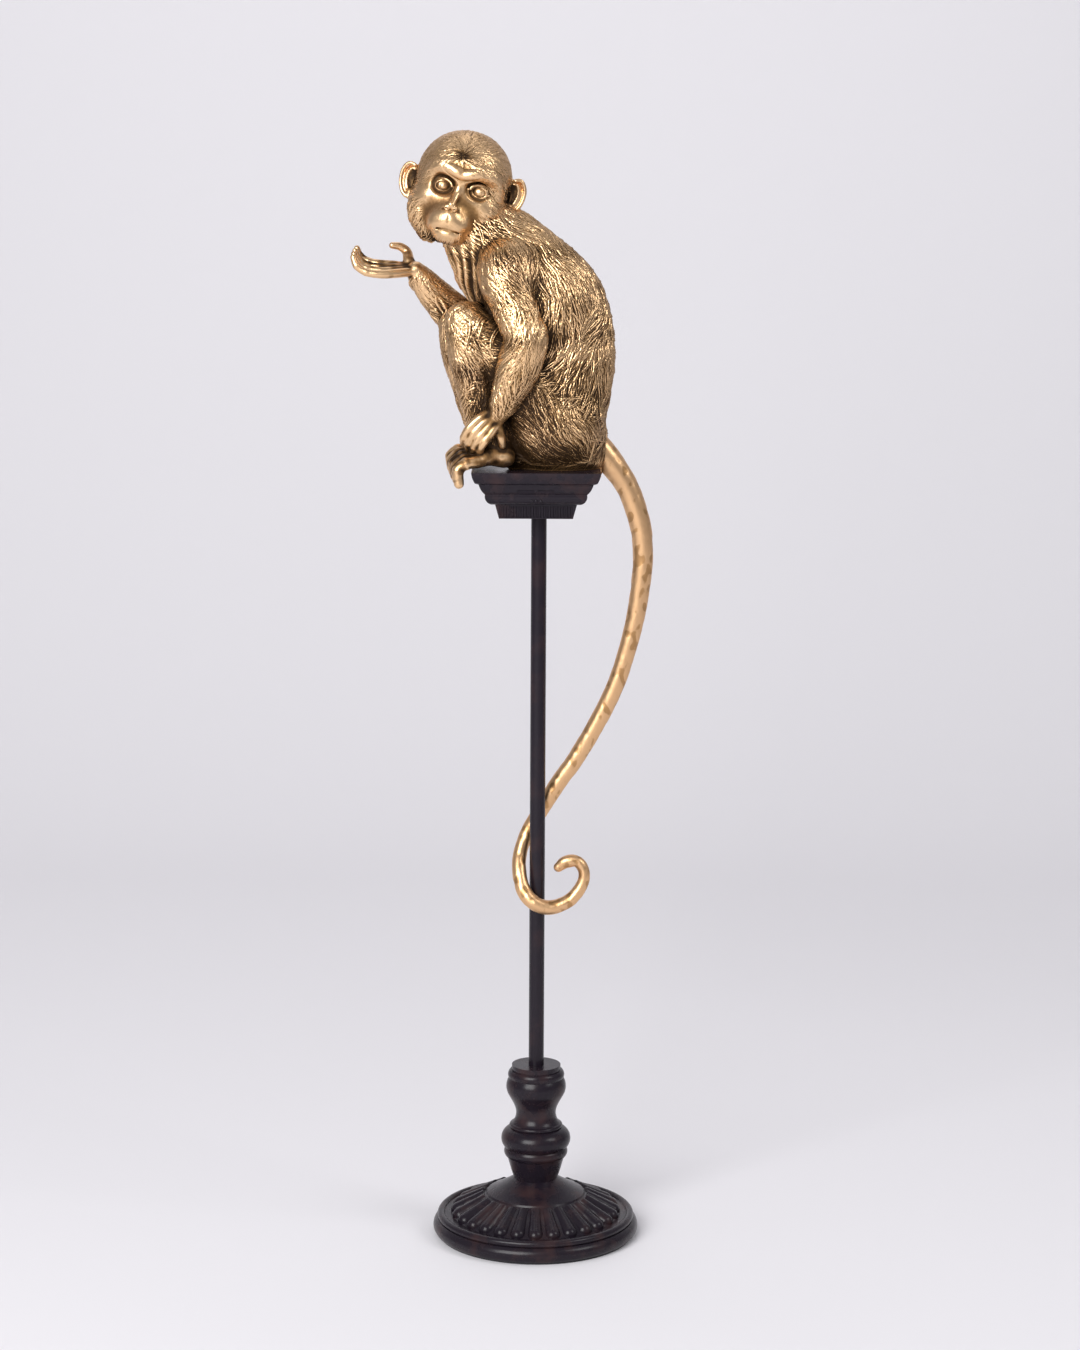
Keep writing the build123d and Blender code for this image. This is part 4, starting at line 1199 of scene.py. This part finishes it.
def eye_forms(clay, x, y):
    """One eye: its mound, the almond opening, the ball and its ring, both lids, and the fold below them."""
    side = math.copysign(1.0, x)
    out = np.array((1.0, 0, -0.42 * side))
    clay.add(Egg((x, y, 13.4), (8.3, 7.8, 8.0)), 1.2)
    clay.cut(Egg((x - 0.4 * side, y - 0.3, 22.0), (5.9, 3.6, 7.0), (0, 0, -7 * side)), soften=0.4)
    clay.add(Egg((x, y - 0.3, 14.4), (6.0, 6.0, 6.2)), 0.1)
    clay.cut(*ring((x - 0.4 * side, y - 0.3, 20.2), (2.5, 0, 0), (0, 2.5, 0), 0.4), soften=0.2)
    clay.add_group(ring((x, y + 0.4, 19.0), 7.2 * out, (0, 4.7, 1.0), 1.0, (0.02, 0.48)), 0.7)
    clay.add_group(ring((x, y - 0.2, 18.0), 8.8 * out, (0, 7.2, -0.2), 0.7, (0.48, 1.02)), 0.9)
    clay.add_group(ring((x + 0.4 * side, y - 0.4, 17.8), 11.0 * out, (0, 9.8, -0.6), 0.6, (0.52, 0.98)), 1.2)


def ear_forms(clay, side):
    """One ear: a thin plate that leans forward, its hollow, rolled rim, inner ridge, lobe and opening."""
    hub = np.array((side * 40.0, 0.5 + EAR_HEIGHTS[side], -5.0))
    out, up = np.array((side * 7.2, 0, -2.4)), np.array((side * 1.2, 12.6, 0))
    clay.add(Egg(hub + (side * -1.5, 0, -1.0), (8.6, 12.8, 2.3), (0, side * 18, 0)), 2.0)
    clay.cut(Egg(hub + (side * -1.2, 0.4, 3.0), (5.8, 10.6, 3.9), (0, side * 18, 0)), soften=0.7)
    clay.add_group(ring(hub + (0, 0, 0.8), out, up, 1.45, (-0.27, 0.31)), 0.7)
    clay.add_group(ring(hub + (side * -1.6, 0.3, 0.2), 0.55 * out, 0.70 * up, 0.85, (-0.22, 0.30)), 0.5)
    clay.add(Egg(hub + (side * -3.6, -9.6, 0.4), (3.8, 3.8, 2.0)), 1.4)
    clay.cut(Egg(hub + (side * -4.6, -1.5, 2.0), (2.4, 5.2, 4.0)), soften=0.7)


def both_sides(rows, shift):
    """A bent rod across the face: rows from the middle outwards, their mirror image before them, moved."""
    mirrored = [(-x, y, z, radius) for x, y, z, radius in rows[:0:-1]]
    return bent_rod(np.array(mirrored + rows) + shift)


def head_clay(step):
    """The head's block of distances: skull, cheeks, face and ears, and what is carved out between them."""
    clay = Clay(HEAD_LOW, HEAD_HIGH, step)
    for centre, halves, crease in SKULL:
        clay.add(Egg(centre, halves), crease)
    for x, y in EYES:
        clay.cut(Egg((x, y + 1.0, 27.5), (10.8, 9.0, 13.0)), soften=3.0)
    clay.add_group(both_sides(BROW, BROW_SHIFT), 5.0)
    # Muzzle, nose, nostril wings, upper lips and chin
    clay.add(Egg((-1.6, -22.4, 14.0), (15.0, 13.0, 19.0)), 8.0)
    clay.add_group(bent_rod(NOSE), 3.0)
    for side in (-1, 1):
        clay.add(Egg((NOSE_MIDDLE + side * 3.0, -14.0, 30.6), (2.5, 2.2, 2.8)), 1.4)
        clay.add(Egg((-1.6 + side * 7.0, -27.0, 20.5), (8.0, 6.4, 8.0)), 8.0)
    clay.add(Egg((0.4, -35.4, 17.0), (11.0, 5.2, 11.0)), 4.0)
    # Lower lip, mouth, groove above the lips, nostrils and the creases beside the nose
    clay.add_group(both_sides(LIP, MOUTH_SHIFT), 1.8)
    clay.cut(*both_sides(MOUTH, MOUTH_SHIFT), soften=0.7)
    clay.cut(*bent_rod(LIP_GROOVE), soften=1.6)
    for side in (-1, 1):
        nostril = [(NOSE_MIDDLE + side * 1.5, -16.4, 33.2, 0.7), (NOSE_MIDDLE + side * 3.2, -15.0, 32.4, 1.0)]
        crease = [(NOSE_MIDDLE + side * 4.6, -11.4, 28.2, 0.4), (NOSE_MIDDLE + side * 6.0, -16.0, 28.6, 0.5)]
        clay.cut(*bent_rod(nostril), soften=0.3)
        clay.cut(*bent_rod(crease), soften=1.2)
    for x, y in EYES:
        eye_forms(clay, x, y)
    for side in (-1, 1):
        ear_forms(clay, side)
    return clay


def head_mask(x, y, z):
    """How much fur the head bears, from 0 on the face and the ears to 1."""
    face = np.sqrt(((x + 2.5) / 25.0) ** 2 + ((y + 10.5) / 27.5) ** 2)
    bare = np.clip((face - 0.84) / 0.34, 0, 1) ** 1.3
    bare = np.where(z < 0, 1.0, bare)
    ear = np.clip((37.0 - np.abs(x)) / 2.0, 0, 1)
    return bare * np.where((np.abs(y) < 18) & (z > -14) & (z < 2), ear, 1.0)


def head_flow(x, y, z, from_whorl, normals):
    """The way the head's fur runs: out from the whorl above, down the cheeks and back below."""
    upper = np.clip((y - 6.0) / 8.0, 0, 1)[:, None]
    fall = np.stack((0.8 * x, -16.0 - 6.0 * (y < -14), -16.0 + 0 * x), 1)
    flow = upper * unit(from_whorl * (1, 1, 0.4)) + (1 - upper) * unit(fall)
    return tangent(flow + TINY, normals)


def head_patina_and_painted_light(x, y, z, hollow, mask, whorl):
    """The head's dark finish: paler on the bare face, partly for its paler skin and partly as painted light;
    painted shade under the chin; patina in the whorl and the ears; patina and painted shade in the eye
    sockets, with a painted highlight on each eyeball.
    """
    in_front = z > FACE_FRONT
    # The bare face is painted paler, partly for its paler skin and partly as painted light where the key
    # light falls on it
    hollow = hollow * (1 - 0.4 * (1 - mask) * in_front)
    hollow = np.where(in_front, np.minimum(hollow, 0.10 + 2.5 * mask), hollow)
    # Painted shade under the chin, and patina in the whorl
    hollow += 1.2 * np.clip((-y - 34.0 - 0.3 * (z - 12)) / 8.0, 0, 1) + 1.4 * whorl
    for eye_x, eye_y in EYES:
        reach = np.hypot((x - eye_x) / 9.5, (y - eye_y - 0.6) / 7.8)
        # Patina and painted shade from the brow in the eye socket
        hollow += 0.12 * np.clip((1.15 - reach) / 0.3, 0, 1) * in_front
        # Painted highlight on the middle of the eyeball
        hollow -= 0.35 * np.clip((0.50 - reach) / 0.3, 0, 1) * in_front
    for side, lift in EAR_HEIGHTS.items():
        reach = np.hypot((x - side * 38.6) / 6.4, (y - 0.5 - lift) / 10.5)
        hollow += 0.75 * np.clip((1.0 - reach) / 0.2, 0, 1) * (side * x > 33.0) * (z > -10)
    return hollow


# Locks of the crown and of the jaw: length, width, height; where the jaw begins; the whorl's depth; and
# how far the skin below the fur is sunk, all in millimetres
HEAD_LOCKS = ((20.0, 3.4, 1.5), (19.0, 4.6, 2.8))
JAW_TOP = -12
WHORL_DEPTH = 1.1
HEAD_FUR_SINK = 0.7

# How uneven the bare skin of the face is, finely and broadly, in millimetres
PORE_DEPTH = 0.015
SWELL_DEPTH = 0.07

# Half side of the cube in which forms crowd on the head, for its painted shade, and how much paler the head
# is painted than the body, partly for its paler face and partly as painted light where the key light falls on
# it
HEAD_CROWDING = 9.0
HEAD_PALER = 0.32


class FIGURINE_OT_head(bpy.types.Operator):
    """Sculpt the head: skull, face, ears and fur"""

    bl_idname = "figurine.head"
    bl_label = "Head"

    def execute(self, context):
        sizes = context.scene.figurine_sculpt
        clay = head_clay(fineness(sizes.head_step))
        points, quads = clay.skin()
        pairs = neighbour_pairs(quads)
        points = relax(points, pairs, times=1)
        normals = normals_of(relax(points, pairs, times=5), quads)
        x, y, z = points.T
        from_whorl = points - WHORL
        flow = head_flow(x, y, z, from_whorl, normals)
        flow = swirl(flow, normals, 0.25 * waves(points, size=26.0, seed=5))
        mask = head_mask(x, y, z)
        on_jaw = (y < JAW_TOP).astype(int)
        height = comb_skin(points, normals, flow, on_jaw, HEAD_LOCKS, mask, seed=21)
        near_whorl = from_whorl * (0.8, 1.5, 0.7)
        whorl = np.exp(-dot(near_whorl, near_whorl) / 34.0)
        height -= WHORL_DEPTH * whorl
        pores = PORE_DEPTH * waves(points, size=2.4, seed=13, octaves=16)
        swells = SWELL_DEPTH * waves(points, size=9.0, seed=14, octaves=12)
        height += (1 - mask) * (pores + swells)
        points = points + normals * (height - HEAD_FUR_SINK * mask)[:, None]
        # Patina from the hollows and painted shade where forms crowd, made paler on the head, partly as
        # painted light
        hollow = hollows(points, quads, pairs, clay, HEAD_CROWDING, sizes.painted_recess_shade) - HEAD_PALER
        hollow = head_patina_and_painted_light(x, y, z, hollow, mask, whorl)
        places = place(*HEAD_CENTRE) + points @ head_axes().T
        behind = (points[:, 2] < BACK_OF_HEAD).astype(int)
        add_castings(places, quads, hollow, behind, {"head": "head", "head_back": "head"})
        return {"FINISHED"}


# Rows between two rows of the tail, points around it, rows of its rounded tip
TAIL_FILL = 22
TAIL_SIDES = 40
TIP_ROWS = 4

# The tail's dents, large and fine, in millimetres, and how far its skin is sunk below the frame's
DENT_TOP = 0.4
DENT_DEPTH = 0.13
FINE_DENT_DEPTH = 0.02
TAIL_SINK = 0.25


def wall_quads(rings):
    """Quads between each ring of point numbers and the next one."""
    following = np.roll(rings, -1, 1)
    return np.stack((rings[:-1], following[:-1], following[1:], rings[1:]), 2).reshape(-1, 4)


class FIGURINE_OT_tail(bpy.types.Operator):
    """Draw the tail along its path, from its joint at the rump to its tip, with faint dents"""

    bl_idname = "figurine.tail"
    bl_label = "Tail"

    def execute(self, context):
        rows = smooth_rows(TAIL, TAIL_FILL)
        path = np.stack((rows[:, 0] * TAIL_DROP, rows[:, 2] * TAIL_PASS, SEAT + rows[:, 1] * TAIL_DROP), 1)
        radii = rows[:, 3] * TAIL_ROOT_RADIUS
        ahead = unit(np.gradient(path, axis=0))
        side = unit(np.cross(ahead, (0, 1, 0)))
        over = np.cross(side, ahead)
        turns = np.linspace(0, 2 * math.pi, TAIL_SIDES, endpoint=False)[None, :, None]
        outward = (np.cos(turns) * side[:, None] + np.sin(turns) * over[:, None]).reshape(-1, 3)
        base = np.repeat(path, TAIL_SIDES, 0) + outward * np.repeat(radii, TAIL_SIDES)[:, None]
        dents = np.minimum(waves(base, size=9.0, seed=31, octaves=14), DENT_TOP) * DENT_DEPTH
        dents = dents + waves(base, size=2.6, seed=32, octaves=14) * FINE_DENT_DEPTH
        points = base + outward * (dents - TAIL_SINK)[:, None]
        grid = np.arange(len(points)).reshape(-1, TAIL_SIDES)
        angles = np.linspace(0, math.pi / 2, TIP_ROWS + 2)[1:-1]
        last = points[grid[-1]] - path[-1]
        tip_rings = [
            path[-1] + ahead[-1] * (radii[-1] * math.sin(angle)) + last * math.cos(angle) for angle in angles
        ]
        points = np.vstack((points, *tip_rings, path[-1] + ahead[-1] * radii[-1], path[0]))
        rings = np.vstack((grid, len(base) + np.arange(TAIL_SIDES * TIP_ROWS).reshape(-1, TAIL_SIDES)))
        tip = np.stack((rings[-1], np.roll(rings[-1], -1), np.full(TAIL_SIDES, len(points) - 2)), 1)
        root = np.stack((np.roll(grid[0], -1), grid[0], np.full(TAIL_SIDES, len(points) - 1)), 1)
        hollow = np.zeros(len(points))
        hollow[:len(dents)] = -(dents - dents.mean()) / (2 * dents.std())
        faces = [wall_quads(rings), np.vstack((tip, root))]
        piece = mesh_piece("tail_casting", points, faces, material_named("bright_gold"), {"hollow": hollow})
        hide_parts("tail")
        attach(piece, "root")
        return {"FINISHED"}


def material_named(name):
    """A finish made earlier."""
    return bpy.data.materials[name]


class FIGURINE_OT_finishes(bpy.types.Operator):
    """Make the finishes and give them to the frame's own pieces"""

    bl_idname = "figurine.finishes"
    bl_label = "Finishes"

    def execute(self, context):
        by_slot = {
            "antique_gold": antique_gold(),
            "bright_gold": bright_gold(),
            "stand_black": stand_black("stand_black", glow=0.55, roughness=0.27),
            "pole_black": stand_black("pole_black", glow=0.30, roughness=0.24),
            "iron": plain_metal("iron", (0.12, 0.12, 0.12), roughness=0.6),
            "steel": plain_metal("steel", (0.60, 0.60, 0.62), roughness=0.3),
            "brass": plain_metal("brass", (0.72, 0.55, 0.26), roughness=0.3),
            "felt": felt(),
        }
        for row in frame["record"]["subparts"]:
            node = frame["nodes"][row["node"]]
            for slot in node.material_slots:
                slot.material = by_slot[row["material_slot"]]
        return {"FINISHED"}


# The backdrop's floor comes this far forward and its wall rises this far up, in metres
FLOOR_FRONT = -6.0
WALL_TOP = 6.0
SWEEP_ROWS = 24

# Lights: name, place and aim in metres, size in metres, and the setting that holds the power
LIGHTS = (
    ("key_light", (-1.3, -2.5, 1.8), (0.0, 0.0, 0.65), 1.9, "key_power"),
    ("fill_light", (1.9, -0.9, 2.0), (0.0, 0.0, 0.65), 1.0, "fill_power"),
    ("wall_light", (0.0, 0.9, 2.7), (0.0, 2.4, 1.1), 1.6, "wall_power"),
)


class FIGURINE_OT_stage(bpy.types.Operator):
    """Set the pale floor and wall, the soft light and the camera"""

    bl_idname = "figurine.stage"
    bl_label = "Stage"

    def execute(self, context):
        scene = context.scene
        look = scene.figurine_stage
        radius, depth, width = look.sweep_radius, look.wall_distance, look.backdrop_width
        turn = np.linspace(0, math.pi / 2, SWEEP_ROWS)
        along = np.concatenate(([FLOOR_FRONT], depth - radius + radius * np.sin(turn), [depth]))
        up = np.concatenate(([0.0], radius - radius * np.cos(turn), [WALL_TOP]))
        side = np.array((-width / 2, width / 2))
        grid = np.stack(np.broadcast_arrays(side[None, :], along[:, None], up[:, None]), 2).reshape(-1, 3)
        rows = np.arange(len(along) - 1)
        quads = np.stack((2 * rows, 2 * rows + 1, 2 * rows + 3, 2 * rows + 2), 1)
        finish = Finish("backdrop")
        finish.set(Base_Color=(*look.backdrop_colour, 1.0), Roughness=0.9, Specular_IOR_Level=0.1)
        sweep = mesh_piece("backdrop", grid / MM, [quads], finish.material)
        world = bpy.data.worlds.new("studio")
        world.use_nodes = True
        tree = world.node_tree
        background = tree.nodes["Background"]
        background.inputs["Color"].default_value = (*look.world_colour, 1.0)
        background.inputs["Strength"].default_value = look.world_strength
        scene.world = world
        for name, at, aim, size, power in LIGHTS:
            light = bpy.data.lights.new(name, "AREA")
            light.size = size
            light.energy = getattr(look, power)
            lamp = bpy.data.objects.new(name, light)
            lamp.location = at
            lamp.rotation_euler = (Vector(aim) - Vector(at)).to_track_quat("-Z", "Y").to_euler()
            scene.collection.objects.link(lamp)
        camera = bpy.data.cameras.new("camera")
        camera.lens = look.lens
        camera.sensor_width = 36.0
        eye = bpy.data.objects.new("camera", camera)
        tilt = Matrix.Rotation(math.pi / 2 - look.camera_pitch, 4, "X")
        roll = Matrix.Rotation(look.camera_roll, 4, "Z")
        eye.matrix_world = Matrix.Translation(look.camera_place) @ tilt @ roll
        scene.collection.objects.link(eye)
        scene.camera = eye
        scene.view_settings.view_transform = "Standard"
        return {"FINISHED"}


class FigurineFinish(bpy.types.PropertyGroup):
    """Colours of the finishes"""

    gold_colour: bpy.props.FloatVectorProperty(
        name="Gold", description="Rubbed gold on the body", subtype="COLOR", default=(0.45, 0.250, 0.098))
    copper_colour: bpy.props.FloatVectorProperty(
        name="Copper", description="Redder patches of the gold", subtype="COLOR",
        default=(0.38, 0.205, 0.092))
    highlight_colour: bpy.props.FloatVectorProperty(
        name="Highlight", description="Gold on the crests", subtype="COLOR", default=(0.88, 0.590, 0.330))
    # Dark brown of the patina in the hollows, also used for the painted shade
    patina_and_shade_colour: bpy.props.FloatVectorProperty(
        name="Patina", description="Dark brown in the hollows", subtype="COLOR",
        default=(0.026, 0.012, 0.0035))
    # Measures at which the patina and the painted shade begin and are full
    patina_and_shade_start: bpy.props.FloatProperty(
        name="Patina start", description="Measure of the hollows at which the dark begins", default=-0.48)
    patina_and_shade_full: bpy.props.FloatProperty(
        name="Patina full", description="Measure of the hollows at which the dark is full", default=0.38)
    tail_colour: bpy.props.FloatVectorProperty(
        name="Tail gold", description="Brighter gold of the tail", subtype="COLOR",
        default=(0.76, 0.475, 0.250))
    tail_shade_colour: bpy.props.FloatVectorProperty(
        name="Tail shade", description="Darker gold in the tail's dents", subtype="COLOR",
        default=(0.42, 0.225, 0.085))
    stand_colour: bpy.props.FloatVectorProperty(
        name="Stand black", description="Satin black of the stand", subtype="COLOR",
        default=(0.0120, 0.0085, 0.0135))
    stand_rub_colour: bpy.props.FloatVectorProperty(
        name="Stand rub", description="Brown where the stand is rubbed", subtype="COLOR",
        default=(0.055, 0.026, 0.024))


class FigurineSculpt(bpy.types.PropertyGroup):
    """How finely the skins are cut, how dark the painted shade in their recesses is and how the fur turns"""

    body_step: bpy.props.FloatProperty(
        name="Body step", description="Grid step of the body, in millimetres", default=0.62)
    head_step: bpy.props.FloatProperty(
        name="Head step", description="Grid step of the head, in millimetres", default=0.52)
    # Painted shade between limbs: how much darker the finish is painted where forms crowd
    painted_recess_shade: bpy.props.FloatProperty(
        name="Recess dark", description="How much darker the finish is between limbs", default=2.4)
    fur_swirl: bpy.props.FloatProperty(
        name="Fur swirl", description="How far the fur turns from its straight way", subtype="ANGLE",
        default=0.35)


class FigurineStage(bpy.types.PropertyGroup):
    """Camera, backdrop and lights"""

    camera_place: bpy.props.FloatVectorProperty(
        name="Camera place", description="Where the camera stands", subtype="TRANSLATION",
        default=(0.0014, -2.5, 0.890))
    camera_pitch: bpy.props.FloatProperty(
        name="Camera pitch", description="How far the camera looks down", subtype="ANGLE",
        default=math.radians(9.95))
    camera_roll: bpy.props.FloatProperty(
        name="Camera roll", description="How far the camera leans", subtype="ANGLE",
        default=math.radians(0.3))
    lens: bpy.props.FloatProperty(name="Lens", description="Focal length in millimetres", default=87.2)
    sweep_radius: bpy.props.FloatProperty(
        name="Sweep radius", description="Curve from floor to wall", subtype="DISTANCE", default=1.2)
    wall_distance: bpy.props.FloatProperty(
        name="Wall distance", description="From the pole to the wall", subtype="DISTANCE", default=2.4)
    backdrop_width: bpy.props.FloatProperty(
        name="Backdrop width", description="Side to side", subtype="DISTANCE", default=12.0)
    backdrop_colour: bpy.props.FloatVectorProperty(
        name="Backdrop", description="Pale paper colour", subtype="COLOR", default=(0.80, 0.785, 0.810))
    world_colour: bpy.props.FloatVectorProperty(
        name="World", description="Colour of the even light", subtype="COLOR", default=(0.95, 0.95, 1.0))
    world_strength: bpy.props.FloatProperty(
        name="World strength", description="Strength of the even light", default=0.33)
    key_power: bpy.props.FloatProperty(name="Key", description="Power of the left light", default=104.0)
    fill_power: bpy.props.FloatProperty(name="Fill", description="Power of the right light", default=17.0)
    wall_power: bpy.props.FloatProperty(
        name="Wall", description="Power of the light on the wall", default=11.0)


class FIGURINE_PT_panel(bpy.types.Panel):
    """The figurine's operators, in the order in which they run"""

    bl_label = "Figurine"
    bl_idname = "FIGURINE_PT_panel"
    bl_space_type = "VIEW_3D"
    bl_region_type = "UI"
    bl_category = "Figurine"

    def draw(self, context):
        for operator in OPERATORS:
            self.layout.operator(operator.bl_idname)


OPERATORS = (FIGURINE_OT_finishes, FIGURINE_OT_body, FIGURINE_OT_head, FIGURINE_OT_tail, FIGURINE_OT_stage)
CLASSES = (FigurineFinish, FigurineSculpt, FigurineStage, *OPERATORS, FIGURINE_PT_panel)


def register():
    for item in CLASSES:
        bpy.utils.register_class(item)
    bpy.types.Scene.figurine_finish = bpy.props.PointerProperty(type=FigurineFinish)
    bpy.types.Scene.figurine_sculpt = bpy.props.PointerProperty(type=FigurineSculpt)
    bpy.types.Scene.figurine_stage = bpy.props.PointerProperty(type=FigurineStage)


def unregister():
    del bpy.types.Scene.figurine_stage
    del bpy.types.Scene.figurine_sculpt
    del bpy.types.Scene.figurine_finish
    for item in reversed(CLASSES):
        bpy.utils.unregister_class(item)


def main():
    """Register and run each operator in order."""
    register()
    bpy.ops.figurine.finishes()
    bpy.ops.figurine.body()
    bpy.ops.figurine.head()
    bpy.ops.figurine.tail()
    bpy.ops.figurine.stage()


if __name__ == "__main__":
    main()
